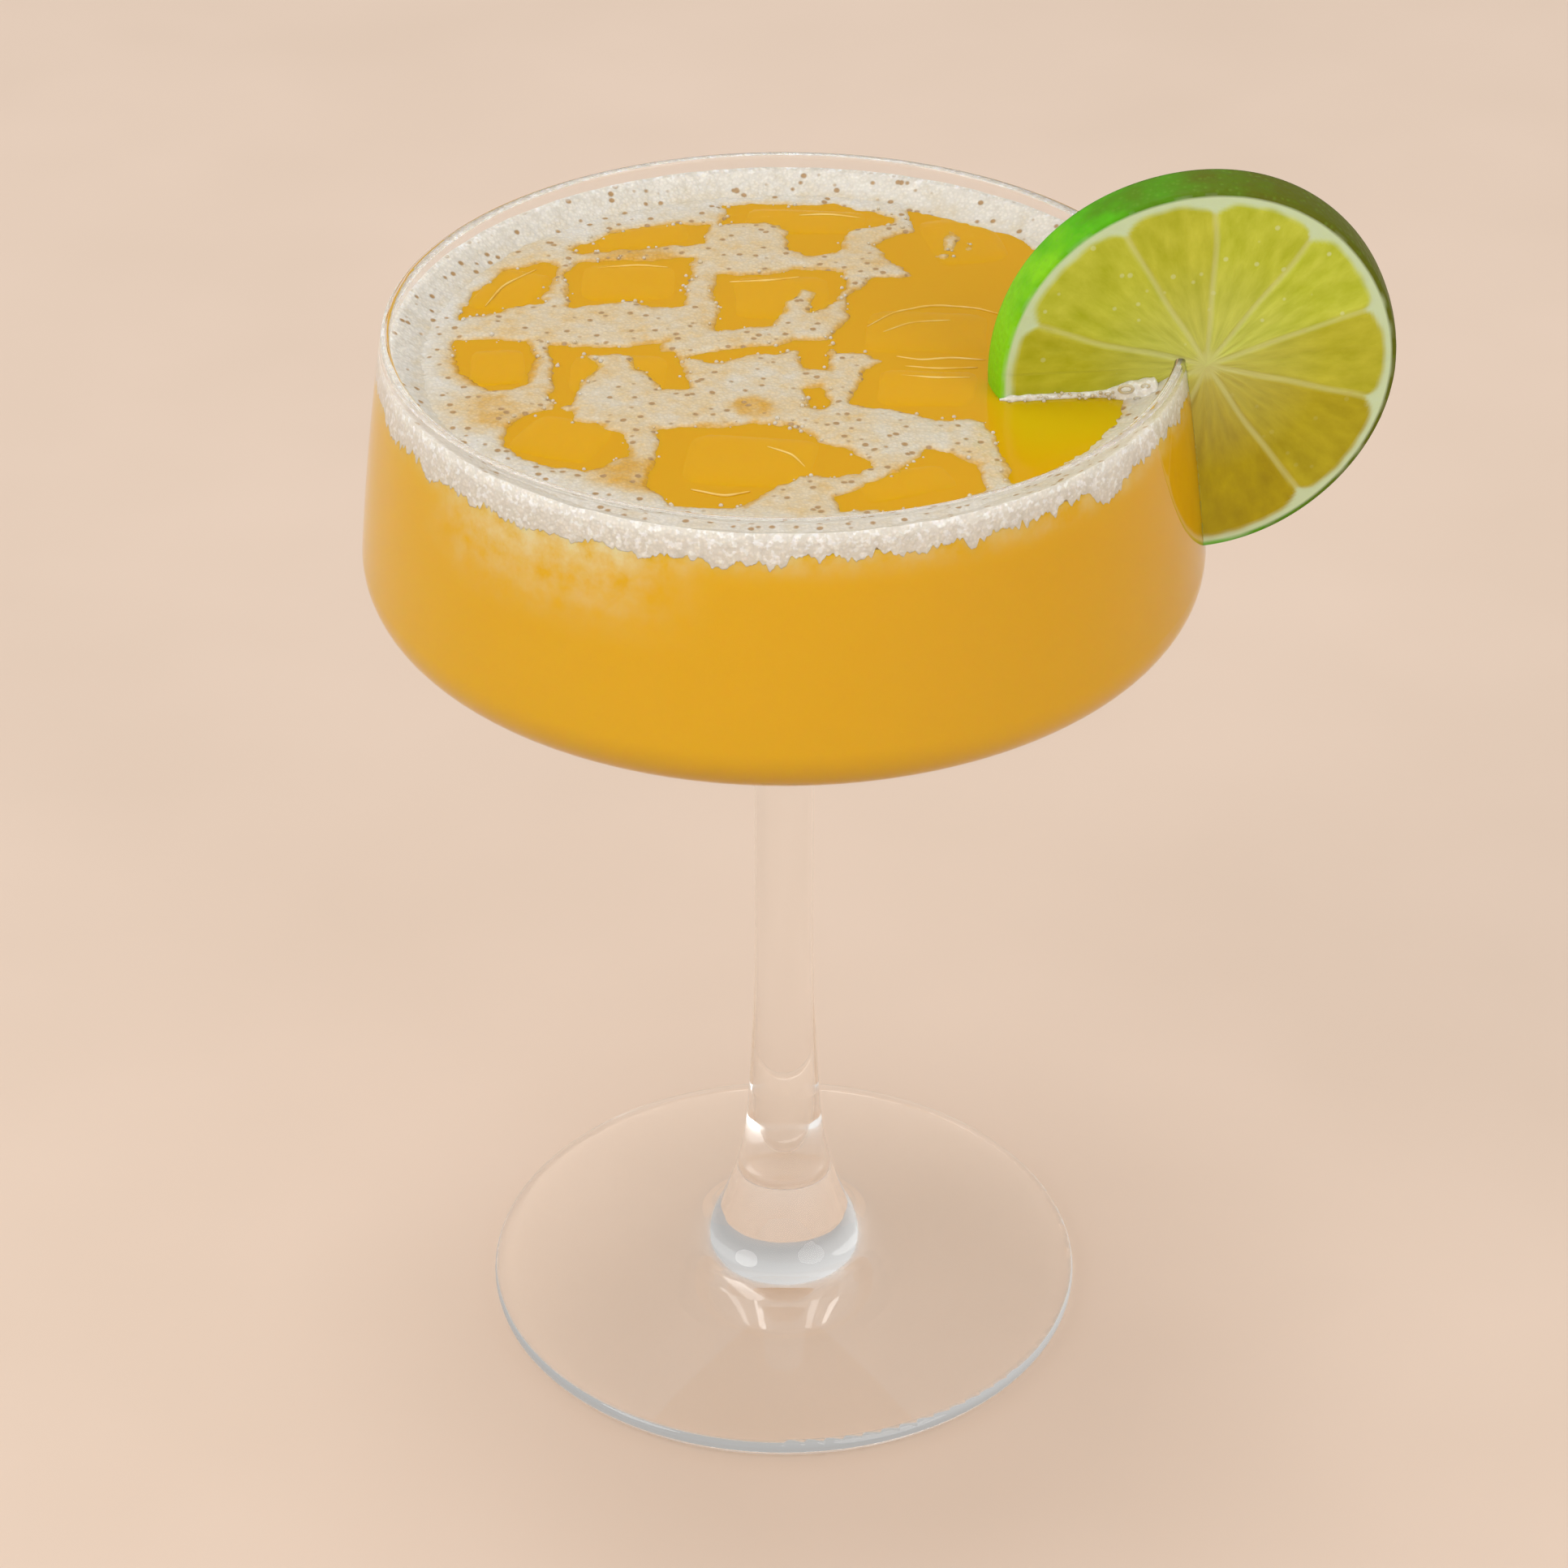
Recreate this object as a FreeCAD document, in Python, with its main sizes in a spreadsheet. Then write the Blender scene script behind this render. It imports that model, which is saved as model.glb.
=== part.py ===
import FreeCAD, Part
import math
import os
import Sketcher
from FreeCAD import Placement, Rotation, Vector

# A margarita in a stemmed coupe, with a wheel of lime hung on the rim.
#
# Frame: Z is up and the glass stands on Z = 0 with its axis on the Z axis.
# The lime wheel hangs on the +X side of the rim, with its front face towards -Y.
# All lengths are millimetres and all angles are degrees.

SIZES = [
    # the coupe, outside
    ("glass_height", 150.0, "floor to lip"),
    ("rim_radius", 49.95, "outside of the lip"),
    ("belly_radius", 53.75, "widest place of the bowl"),
    ("belly_height", 119.8, "height of the widest place"),
    ("side_radius", 375.0, "gentle outward curve of the side above the belly"),
    ("shoulder_radius", 6.6, "turn from the side into the bottom"),
    ("cap_radius", 95.0, "dished bottom of the bowl"),
    ("wall", 1.3, "thickness of the bowl's glass"),
    ("lip_round", 0.55, "rounding of both edges of the lip"),
    ("lip_share", 0.45, "most of the wall that one rounding may take"),
    # the stem and the foot
    ("stem_radius", 3.95, "straight part of the stem"),
    ("collar_radius", 7.0, "fillet between the stem and the bowl"),
    ("flare_top", 60.8, "height where the stem starts to widen"),
    ("flare_join", 28.0, "height where the slow flare turns into the quick one"),
    ("slow_flare_radius", 472.0, "curve of the upper flare"),
    ("quick_flare_radius", 52.0, "curve of the lower flare"),
    ("root_radius", 9.0, "fillet between the flare and the foot"),
    ("foot_radius", 41.0, "outside of the foot"),
    ("foot_edge", 2.4, "thickness of the foot's rounded edge"),
    ("foot_slope", 9.0, "slope of the foot's top face"),
    # what the bowl holds
    ("drink_gap", 4.5, "lip down to the top of the drink"),
    ("froth_gap", 1.8, "lip down to the top of the froth where it meets the glass"),
    ("froth_dip", 0.8, "froth's underside below the top of the drink"),
    ("froth_width", 5.6, "froth ring, measured in from the rim's outside"),
    ("froth_crown", 8.0, "radius of the froth's rounded top"),
    ("froth_shore", 0.4, "height of the froth's inner edge above the drink"),
    # the lime wheel
    ("lime_radius", 25.5, "fruit that the wheel is cut from"),
    ("lime_thickness", 5.4, "thickness of the wheel"),
    ("lime_offset", 0.9, "middle of the fruit to the wheel's back face"),
    ("lime_out", 0.55, "outside of the rim to the middle of the wheel, along X"),
    ("lime_setback", -6.7, "middle of the wheel, along Y"),
    ("lime_drop", 2.45, "middle of the wheel below the lip"),
    ("lime_yaw", 6.5, "turn of the wheel about the vertical"),
    ("slit_clearance", 0.2, "room in the slit on each side of the glass"),
]


# the points of a sketch's line or arc, and the angle where an arc touches its lowest point
START, END, CENTRE = 1, 2, 3
DOWN = -math.pi / 2

# a lip edge is a level circle: its box is no taller than this
LEVEL = 1e-3

DRINK_TOP = "sizes.glass_height - sizes.drink_gap"


def make_sheet(doc):
    """Put the driving sizes into a sheet, one alias to a row."""
    sheet = doc.addObject("Spreadsheet::Sheet", "sizes")
    for row, (alias, value, meaning) in enumerate(SIZES, start=1):
        sheet.set("A%d" % row, alias)
        sheet.set("B%d" % row, str(value))
        sheet.set("C%d" % row, meaning)
        sheet.setAlias("B%d" % row, alias)
    doc.recompute()
    return sheet


# ---------------------------------------------------------------- sketch tools

def add_sketch(body, name):
    """Add a sketch on the body's own XZ plane: sketch X is radius, sketch Y is height."""
    sketch = body.newObject("Sketcher::SketchObject", name)
    plane = [item for item in body.Origin.OriginFeatures if item.Role == "XZ_Plane"][0]
    sketch.AttachmentSupport = [(plane, "")]
    sketch.MapMode = "FlatFace"
    return sketch


def add_line(sketch, start, end):
    return sketch.addGeometry(Part.LineSegment(Vector(*start, 0), Vector(*end, 0)), False)


def add_arc(sketch, centre, radius, first, last):
    """Add an arc that runs anticlockwise between two angles in radians."""
    circle = Part.Circle(Vector(*centre, 0), Vector(0, 0, 1), radius)
    return sketch.addGeometry(Part.ArcOfCircle(circle, first, last), False)


def bind(sketch, name, kind, target, value, formula):
    """Add a sized constraint and tie it to the sheet."""
    index = sketch.addConstraint(Sketcher.Constraint(kind, *target, value))
    sketch.renameConstraint(index, name)
    sketch.setExpression("Constraints." + name, formula)


def bind_radius(sketch, name, arc, value, formula):
    bind(sketch, name, "Radius", (arc,), value, formula)


def bind_across(sketch, name, item, point, value, formula):
    """Fix how far a point lies from the axis."""
    bind(sketch, name, "DistanceX", (-1, 1, item, point), value, formula)


def bind_height(sketch, name, item, point, value, formula):
    bind(sketch, name, "DistanceY", (-1, 1, item, point), value, formula)


def touch(sketch, first, first_end, second, second_end):
    """Join two ends with a corner."""
    sketch.addConstraint(Sketcher.Constraint("Coincident", first, first_end, second, second_end))


def flow(sketch, first, first_end, second, second_end):
    """Join two ends so that one runs smoothly into the other."""
    sketch.addConstraint(Sketcher.Constraint("Tangent", first, first_end, second, second_end))


def put_on_axis(sketch, item, point):
    sketch.addConstraint(Sketcher.Constraint("PointOnObject", item, point, -2))


def spin(body, sketch, kind, name):
    """Turn a sketch through a full circle about the glass axis."""
    feature = body.newObject(kind, name)
    feature.Profile = sketch
    feature.ReferenceAxis = (sketch, ["V_Axis"])
    feature.Angle = 360
    return feature


# ---------------------------------------------------------------- bowl outline

def leftmost_meeting(centre_a, radius_a, centre_b, radius_b):
    """Return the leftmost of the two points where two circles cross."""
    span_x = centre_b[0] - centre_a[0]
    span_y = centre_b[1] - centre_a[1]
    gap = math.hypot(span_x, span_y)
    along = (gap ** 2 + radius_a ** 2 - radius_b ** 2) / (2 * gap)
    off = math.sqrt(radius_a ** 2 - along ** 2)
    foot = (centre_a[0] + along * span_x / gap, centre_a[1] + along * span_y / gap)
    one = (foot[0] - off * span_y / gap, foot[1] + off * span_x / gap)
    two = (foot[0] + off * span_y / gap, foot[1] - off * span_x / gap)
    return min(one, two)


def angle_from(origin, point):
    return math.atan2(point[1] - origin[1], point[0] - origin[0])


def cap_middle(sheet):
    """Return the centre of the dished bottom's arc, which is the same for every inset."""
    across = sheet.belly_radius - sheet.shoulder_radius
    rise = math.sqrt((sheet.cap_radius - sheet.shoulder_radius) ** 2 - across ** 2)
    return (0.0, sheet.belly_height + rise)


def bowl_outline(sketch, sheet, inset, inset_formula, top, top_formula, cap_start):
    """Draw the bowl's three smooth arcs, moved in from the outside by inset.

    The cap is the dished bottom, the shoulder turns it up, and the side runs to
    the height top. Every outline has its side on the rim's own point, so that
    outlines with the same inset match at any height.
    """
    cap_radius = sheet.cap_radius - inset
    shoulder_radius = sheet.shoulder_radius - inset
    side_radius = sheet.side_radius - inset
    rim = (sheet.rim_radius - inset, sheet.glass_height)
    shoulder_centre = (sheet.belly_radius - sheet.shoulder_radius, sheet.belly_height)
    cap_centre = cap_middle(sheet)
    side_centre = leftmost_meeting(
        rim, side_radius, shoulder_centre, side_radius - shoulder_radius)
    low_turn = angle_from(cap_centre, shoulder_centre)
    high_turn = angle_from(side_centre, shoulder_centre)
    side_end = math.asin((top - side_centre[1]) / side_radius)

    cap = add_arc(sketch, cap_centre, cap_radius, cap_start, low_turn)
    shoulder = add_arc(sketch, shoulder_centre, shoulder_radius, low_turn, high_turn)
    side = add_arc(sketch, side_centre, side_radius, high_turn, side_end)
    mark = sketch.addGeometry(Part.Point(Vector(*rim, 0)), True)

    put_on_axis(sketch, cap, CENTRE)
    flow(sketch, cap, END, shoulder, START)
    flow(sketch, shoulder, END, side, START)
    bind_radius(sketch, "cap", cap, cap_radius, "sizes.cap_radius - (%s)" % inset_formula)
    bind_radius(sketch, "shoulder", shoulder, shoulder_radius,
                "sizes.shoulder_radius - (%s)" % inset_formula)
    bind_across(sketch, "belly_across", shoulder, CENTRE, shoulder_centre[0],
                "sizes.belly_radius - sizes.shoulder_radius")
    bind_height(sketch, "belly_height", shoulder, CENTRE, shoulder_centre[1], "sizes.belly_height")
    bind_radius(sketch, "side", side, side_radius, "sizes.side_radius - (%s)" % inset_formula)
    bind_across(sketch, "rim_across", mark, START, rim[0], "sizes.rim_radius - (%s)" % inset_formula)
    bind_height(sketch, "rim_height", mark, START, rim[1], "sizes.glass_height")
    sketch.addConstraint(Sketcher.Constraint("PointOnObject", mark, START, side))
    bind_height(sketch, "top", side, END, top, top_formula)
    return cap, side


def close_over_top(sketch, side, bottom_item, bottom_end):
    """Close an outline with a level top and a line down the axis."""
    rim = sketch.getPoint(side, END)
    low = sketch.getPoint(bottom_item, bottom_end)
    level = add_line(sketch, (rim.x, rim.y), (0.0, rim.y))
    axis = add_line(sketch, (0.0, rim.y), (0.0, low.y))
    touch(sketch, side, END, level, START)
    touch(sketch, level, END, axis, START)
    touch(sketch, axis, END, bottom_item, bottom_end)
    sketch.addConstraint(Sketcher.Constraint("Horizontal", level))
    put_on_axis(sketch, level, END)


def bowl_fill_sketch(body, sheet, name, inset, inset_formula, top, top_formula):
    """Draw all that lies inside a bowl outline, up to a level."""
    sketch = add_sketch(body, name)
    cap, side = bowl_outline(sketch, sheet, inset, inset_formula, top, top_formula, DOWN)
    put_on_axis(sketch, cap, START)
    close_over_top(sketch, side, cap, START)
    return sketch


# ---------------------------------------------------------------------- glass

def foot_and_stem(sketch, sheet, cap, cap_start):
    """Draw the outline from the middle of the foot up to the bowl's dished bottom."""
    edge = sheet.foot_edge / 2
    slope = math.radians(sheet.foot_slope)
    edge_centre = (sheet.foot_radius - edge, edge)
    slow = sheet.slow_flare_radius
    quick = sheet.quick_flare_radius
    root = sheet.root_radius
    collar = sheet.collar_radius
    stem = sheet.stem_radius

    slow_centre = (stem + slow, sheet.flare_top)
    join = math.asin((sheet.flare_top - sheet.flare_join) / slow)
    quick_centre = (slow_centre[0] - (slow - quick) * math.cos(join),
                    slow_centre[1] - (slow - quick) * math.sin(join))
    # the root's centre lies one radius above the foot's sloping top face
    up = (math.sin(slope), math.cos(slope))
    out = (math.cos(slope), -math.sin(slope))
    above = (edge_centre[0] + (edge + root) * up[0], edge_centre[1] + (edge + root) * up[1])
    span = (above[0] - quick_centre[0], above[1] - quick_centre[1])
    along = span[0] * out[0] + span[1] * out[1]
    rest = span[0] ** 2 + span[1] ** 2 - (quick - root) ** 2
    slide = -along - math.sqrt(along ** 2 - rest)
    root_centre = (above[0] + slide * out[0], above[1] + slide * out[1])
    root_low = (root_centre[0] - root * up[0], root_centre[1] - root * up[1])
    edge_high = (edge_centre[0] + edge * up[0], edge_centre[1] + edge * up[1])
    root_turn = angle_from(quick_centre, root_centre) % (2 * math.pi)
    foot_turn = 3 * math.pi / 2 - slope
    collar_height = cap_middle(sheet)[1] + (sheet.cap_radius + collar) * math.sin(cap_start)
    collar_centre = (stem + collar, collar_height)

    base = add_line(sketch, (0.0, 0.0), (edge_centre[0], 0.0))
    rim = add_arc(sketch, edge_centre, edge, DOWN, math.pi / 2 - slope)
    top = add_line(sketch, edge_high, root_low)
    fillet = add_arc(sketch, root_centre, root, root_turn, foot_turn)
    lower = add_arc(sketch, quick_centre, quick, math.pi + join, root_turn)
    upper = add_arc(sketch, slow_centre, slow, math.pi, math.pi + join)
    shaft = add_line(sketch, (stem, sheet.flare_top), (stem, collar_centre[1]))
    neck = add_arc(sketch, collar_centre, collar, cap_start + math.pi, math.pi)

    touch(sketch, base, START, -1, START)
    sketch.addConstraint(Sketcher.Constraint("PointOnObject", base, END, -1))
    flow(sketch, base, END, rim, START)
    flow(sketch, rim, END, top, START)
    flow(sketch, top, END, fillet, END)
    flow(sketch, fillet, START, lower, END)
    flow(sketch, lower, START, upper, END)
    flow(sketch, upper, START, shaft, START)
    flow(sketch, shaft, END, neck, END)
    flow(sketch, neck, START, cap, START)
    sketch.addConstraint(Sketcher.Constraint("Vertical", shaft))
    bind_radius(sketch, "edge", rim, edge, "sizes.foot_edge / 2")
    bind_across(sketch, "edge_across", rim, CENTRE, edge_centre[0],
                "sizes.foot_radius - sizes.foot_edge / 2")
    bind(sketch, "foot_slope", "Angle", (-1, START, top, START), math.pi - slope,
         "(180 - sizes.foot_slope) * 1 deg")
    bind_radius(sketch, "root", fillet, root, "sizes.root_radius")
    bind_radius(sketch, "quick_flare", lower, quick, "sizes.quick_flare_radius")
    bind_height(sketch, "flare_join", lower, START, sheet.flare_join, "sizes.flare_join")
    bind_radius(sketch, "slow_flare", upper, slow, "sizes.slow_flare_radius")
    bind_height(sketch, "flare_top", upper, CENTRE, sheet.flare_top, "sizes.flare_top")
    bind_across(sketch, "stem_across", shaft, START, stem, "sizes.stem_radius")
    bind_radius(sketch, "collar", neck, collar, "sizes.collar_radius")
    return base


def make_glass(doc, sheet):
    """Foot, stem and bowl in one piece of glass."""
    body = doc.addObject("PartDesign::Body", "glass")
    blank = add_sketch(body, "glass_outside")
    reach = sheet.stem_radius + sheet.collar_radius
    cap_start = -math.acos(reach / (sheet.cap_radius + sheet.collar_radius))
    cap, side = bowl_outline(
        blank, sheet, 0.0, "0", sheet.glass_height, "sizes.glass_height", cap_start)
    base = foot_and_stem(blank, sheet, cap, cap_start)
    close_over_top(blank, side, base, START)
    spin(body, blank, "PartDesign::Revolution", "glass_blank")

    hollow = bowl_fill_sketch(body, sheet, "glass_inside", sheet.wall, "sizes.wall",
                              sheet.glass_height, "sizes.glass_height")
    cavity = spin(body, hollow, "PartDesign::Groove", "glass_cavity")
    doc.recompute()

    lip_edges = []
    for number, edge in enumerate(cavity.Shape.Edges, start=1):
        box = edge.BoundBox
        if box.ZMin > sheet.glass_height - sheet.lip_round and box.ZLength < LEVEL:
            lip_edges.append("Edge%d" % number)
    lip = body.newObject("PartDesign::Fillet", "glass_lip")
    lip.Base = (cavity, lip_edges)
    lip.Radius = sheet.lip_round
    lip.setExpression("Radius", "min(sizes.lip_round; sizes.lip_share * sizes.wall)")
    return body


# ------------------------------------------------------- what the bowl holds

def make_fill(doc, sheet, name, top, top_formula):
    """All the room in the bowl, up to a level."""
    body = doc.addObject("PartDesign::Body", name)
    sketch = bowl_fill_sketch(body, sheet, name + "_section", sheet.wall, "sizes.wall",
                              top, top_formula)
    spin(body, sketch, "PartDesign::Revolution", name + "_turned")
    return body


def make_froth_band(doc, sheet):
    """A round-topped band of froth that runs out into the wall, to be trimmed by the bowl."""
    body = doc.addObject("PartDesign::Body", "froth_band")
    sketch = add_sketch(body, "froth_section")
    inner = sheet.rim_radius - sheet.froth_width
    outer = sheet.rim_radius
    drink_top = sheet.glass_height - sheet.drink_gap
    underside = drink_top - sheet.froth_dip
    shore = (inner, drink_top + sheet.froth_shore)
    crest = (outer, sheet.glass_height - sheet.froth_gap)
    # the crown's centre is below the froth, on the middle line of its two ends
    span = (crest[0] - shore[0], crest[1] - shore[1])
    half = math.hypot(*span) / 2
    depth = math.sqrt(sheet.froth_crown ** 2 - half ** 2)
    centre = (shore[0] + span[0] / 2 + depth * span[1] / (2 * half),
              shore[1] + span[1] / 2 - depth * span[0] / (2 * half))

    crown = add_arc(sketch, centre, sheet.froth_crown,
                    angle_from(centre, crest), angle_from(centre, shore))
    inside = add_line(sketch, shore, (inner, underside))
    under = add_line(sketch, (inner, underside), (outer, underside))
    outside = add_line(sketch, (outer, underside), crest)
    touch(sketch, crown, END, inside, START)
    touch(sketch, inside, END, under, START)
    touch(sketch, under, END, outside, START)
    touch(sketch, outside, END, crown, START)
    sketch.addConstraint(Sketcher.Constraint("Vertical", inside))
    sketch.addConstraint(Sketcher.Constraint("Horizontal", under))
    sketch.addConstraint(Sketcher.Constraint("Vertical", outside))
    bind_radius(sketch, "crown", crown, sheet.froth_crown, "sizes.froth_crown")
    bind_across(sketch, "inner", inside, START, inner, "sizes.rim_radius - sizes.froth_width")
    bind_height(sketch, "shore", inside, START, shore[1], DRINK_TOP + " + sizes.froth_shore")
    bind_across(sketch, "outer", crown, START, outer, "sizes.rim_radius")
    bind_height(sketch, "crest", crown, START, crest[1], "sizes.glass_height - sizes.froth_gap")
    bind_height(sketch, "under", under, START, underside, DRINK_TOP + " - sizes.froth_dip")
    spin(body, sketch, "PartDesign::Revolution", "froth_turned")
    return body


# ------------------------------------------------------------------ lime wheel

def make_wheel_blank(doc, sheet):
    """A slice of a round lime, turned about its own core and set against the rim.

    Its side is a zone of the fruit's skin, so it is wider at the back than at the front.
    """
    body = doc.addObject("PartDesign::Body", "wheel_blank")
    sketch = add_sketch(body, "wheel_section")
    half = sheet.lime_thickness / 2
    middle = -half - sheet.lime_offset
    back = math.sqrt(sheet.lime_radius ** 2 - sheet.lime_offset ** 2)
    front = math.sqrt(sheet.lime_radius ** 2 - (sheet.lime_offset + sheet.lime_thickness) ** 2)

    back_face = add_line(sketch, (0.0, -half), (back, -half))
    skin = add_arc(sketch, (0.0, middle), sheet.lime_radius,
                   angle_from((0.0, middle), (back, -half)), angle_from((0.0, middle), (front, half)))
    front_face = add_line(sketch, (front, half), (0.0, half))
    core = add_line(sketch, (0.0, half), (0.0, -half))
    touch(sketch, back_face, END, skin, START)
    touch(sketch, skin, END, front_face, START)
    touch(sketch, front_face, END, core, START)
    touch(sketch, core, END, back_face, START)
    put_on_axis(sketch, back_face, START)
    put_on_axis(sketch, core, START)
    put_on_axis(sketch, skin, CENTRE)
    sketch.addConstraint(Sketcher.Constraint("Horizontal", back_face))
    sketch.addConstraint(Sketcher.Constraint("Horizontal", front_face))
    bind_radius(sketch, "skin", skin, sheet.lime_radius, "sizes.lime_radius")
    bind_height(sketch, "front", front_face, START, half, "sizes.lime_thickness / 2")
    bind_height(sketch, "back", back_face, START, -half, "-sizes.lime_thickness / 2")
    bind_height(sketch, "fruit", skin, CENTRE, middle,
                "-sizes.lime_thickness / 2 - sizes.lime_offset")
    spin(body, sketch, "PartDesign::Revolution", "wheel_turned")

    stand_up = Rotation(Vector(1, 0, 0), 90)
    turn = Rotation(Vector(0, 0, 1), sheet.lime_yaw)
    place = Vector(sheet.rim_radius + sheet.lime_out, sheet.lime_setback,
                   sheet.glass_height - sheet.lime_drop)
    body.Placement = Placement(place, turn.multiply(stand_up))
    body.setExpression(
        "Placement",
        "placement(vector(sizes.rim_radius + sizes.lime_out; sizes.lime_setback;"
        " sizes.glass_height - sizes.lime_drop);"
        " rotation(vector(0; 0; 1); sizes.lime_yaw) * rotation(vector(1; 0; 0); 90))")
    return body


def make_wall_sleeve(doc, sheet):
    """The bowl's wall with room on both sides: what the slit in the lime takes away."""
    body = doc.addObject("PartDesign::Body", "wall_sleeve")
    room = sheet.slit_clearance
    outside = bowl_fill_sketch(body, sheet, "sleeve_outside", -room, "-sizes.slit_clearance",
                               sheet.glass_height, "sizes.glass_height")
    spin(body, outside, "PartDesign::Revolution", "sleeve_turned")
    inside = bowl_fill_sketch(body, sheet, "sleeve_inside", sheet.wall + room,
                              "sizes.wall + sizes.slit_clearance",
                              sheet.glass_height, "sizes.glass_height")
    spin(body, inside, "PartDesign::Groove", "sleeve_cavity")
    return body


def combine(doc, kind, name, base, tool):
    """Cut or intersect two pieces."""
    result = doc.addObject(kind, name)
    result.Base = base
    result.Tool = tool
    return result


# ------------------------------------------------------------------- document

def build(doc):
    """Make every piece, and return the ones that are kept."""
    sheet = make_sheet(doc)
    glass = make_glass(doc, sheet)
    bowl_room = make_fill(doc, sheet, "bowl_room", sheet.glass_height, "sizes.glass_height")
    liquid = make_fill(doc, sheet, "liquid", sheet.glass_height - sheet.drink_gap, DRINK_TOP)
    froth_band = make_froth_band(doc, sheet)
    wheel_blank = make_wheel_blank(doc, sheet)
    wall_sleeve = make_wall_sleeve(doc, sheet)

    froth = combine(doc, "Part::Common", "froth", froth_band, bowl_room)
    foam = combine(doc, "Part::Cut", "foam", froth, wheel_blank)
    liquid_under_froth = combine(doc, "Part::Cut", "liquid_under_froth", liquid, froth)
    drink = combine(doc, "Part::Cut", "drink", liquid_under_froth, wheel_blank)
    lime_wheel = combine(doc, "Part::Cut", "lime_wheel", wheel_blank, wall_sleeve)
    return [glass, drink, foam, lime_wheel]


def check(doc, kept):
    """Stop if any object failed or any kept piece isn't one sound solid."""
    for item in doc.Objects:
        if "Invalid" in item.State or "Error" in item.State:
            raise RuntimeError("%s failed: %s" % (item.Name, item.State))
    for item in kept:
        shape = item.Shape
        if shape.isNull() or not shape.isValid() or len(shape.Solids) != 1:
            raise RuntimeError("%s isn't one sound solid" % item.Label)


document = FreeCAD.newDocument("margarita")
pieces = build(document)
document.recompute()
check(document, pieces)
os.makedirs("parts", exist_ok=True)
for piece in pieces:
    piece.Shape.exportStep("parts/%s.step" % piece.Label)
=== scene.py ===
import math
import random

import bmesh
import bpy
import numpy as np
from mathutils import Matrix, Vector, noise


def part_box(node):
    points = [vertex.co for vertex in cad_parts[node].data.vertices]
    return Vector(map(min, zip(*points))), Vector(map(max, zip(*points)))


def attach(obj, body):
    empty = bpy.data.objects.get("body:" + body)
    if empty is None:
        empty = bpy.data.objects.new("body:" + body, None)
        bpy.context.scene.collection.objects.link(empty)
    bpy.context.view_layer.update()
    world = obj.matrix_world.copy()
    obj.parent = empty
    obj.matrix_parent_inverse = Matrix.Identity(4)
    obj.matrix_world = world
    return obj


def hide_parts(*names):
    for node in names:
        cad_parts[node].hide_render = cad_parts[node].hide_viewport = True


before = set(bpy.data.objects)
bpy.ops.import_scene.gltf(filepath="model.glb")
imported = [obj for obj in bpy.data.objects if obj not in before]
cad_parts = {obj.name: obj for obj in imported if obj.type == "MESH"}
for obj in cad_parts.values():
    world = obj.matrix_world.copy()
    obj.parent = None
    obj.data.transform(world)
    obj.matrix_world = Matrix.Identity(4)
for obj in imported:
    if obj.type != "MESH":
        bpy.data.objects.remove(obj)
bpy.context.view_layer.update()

# A margarita in a stemmed coupe. The glass is the frame's own node with a clear material. The drink,
# the froth against the glass and the lime wheel stand for their nodes, and the froth net, the bubbles
# and the ice are added. Sizes below are in millimetres, and meshes are made in metres.

MM = 0.001


# ---- driving sizes

def box_mm(node):
    """Lowest and highest corner of a node, in millimetres."""
    low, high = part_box(node)
    return [value / MM for value in low], [value / MM for value in high]


# the glass is widest at its belly, and the drink inside it
_, (_, BELLY_RADIUS, GLASS_HEIGHT) = box_mm("glass")
_, (_, DRINK_RADIUS, DRINK_LEVEL) = box_mm("drink")
(_, _, FROTH_UNDER), (_, _, FROTH_TOP) = box_mm("foam")
WALL = BELLY_RADIUS - DRINK_RADIUS

# the bowl's arcs, as in the frame
RIM_RADIUS = 49.95
BELLY_HEIGHT = 119.8
SIDE_RADIUS = 375.0
SHOULDER_RADIUS = 6.6
CAP_RADIUS = 95.0
REACH = 0.4  # how far the drink and the froth reach into the wall, so that no gap shows

# the lime wheel, as in the frame
LIME_CENTRE = (RIM_RADIUS + 0.55, -6.7, GLASS_HEIGHT - 2.45)
LIME_YAW = math.radians(6.5)
LIME_FRUIT = 25.5
LIME_THICKNESS = 5.4
LIME_OFFSET = 0.9
SLIT_ROOM = -0.05  # the flesh reaches just into the wall


# ---- mesh tools

def new_object(name, verts, faces, smooth=True):
    """Make a mesh object from points in millimetres."""
    mesh = bpy.data.meshes.new(name)
    mesh.from_pydata([tuple(v) for v in np.asarray(verts, float) * MM], [], faces)
    mesh.validate()
    piece = bpy.data.objects.new(name, mesh)
    bpy.context.scene.collection.objects.link(piece)
    mesh.polygons.foreach_set("use_smooth", [smooth] * len(mesh.polygons))
    mesh.update()
    return piece


def face_outwards(piece):
    """Turn every face of a closed mesh outwards."""
    work = bmesh.new()
    work.from_mesh(piece.data)
    bmesh.ops.recalc_face_normals(work, faces=work.faces)
    work.to_mesh(piece.data)
    work.free()


def ring_faces(first, second, count):
    """Quads between two closed rings of count points."""
    return [(first + i, first + (i + 1) % count, second + (i + 1) % count, second + i)
            for i in range(count)]


def lathe(rows, low_pole, high_pole):
    """Verts and faces of rings of points, closed with a pole at each end."""
    count = len(rows[0])
    verts = [low_pole]
    faces = []
    for row in rows:
        verts.extend(row)
    for index in range(len(rows) - 1):
        faces += ring_faces(1 + index * count, 1 + (index + 1) * count, count)
    last = 1 + (len(rows) - 1) * count
    verts.append(high_pole)
    top = len(verts) - 1
    faces += [(0, 1 + (i + 1) % count, 1 + i) for i in range(count)]
    faces += [(top, last + i, last + (i + 1) % count) for i in range(count)]
    return verts, faces


def on_circle(radius, height, angle):
    return (radius * math.cos(angle), radius * math.sin(angle), height)


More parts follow.
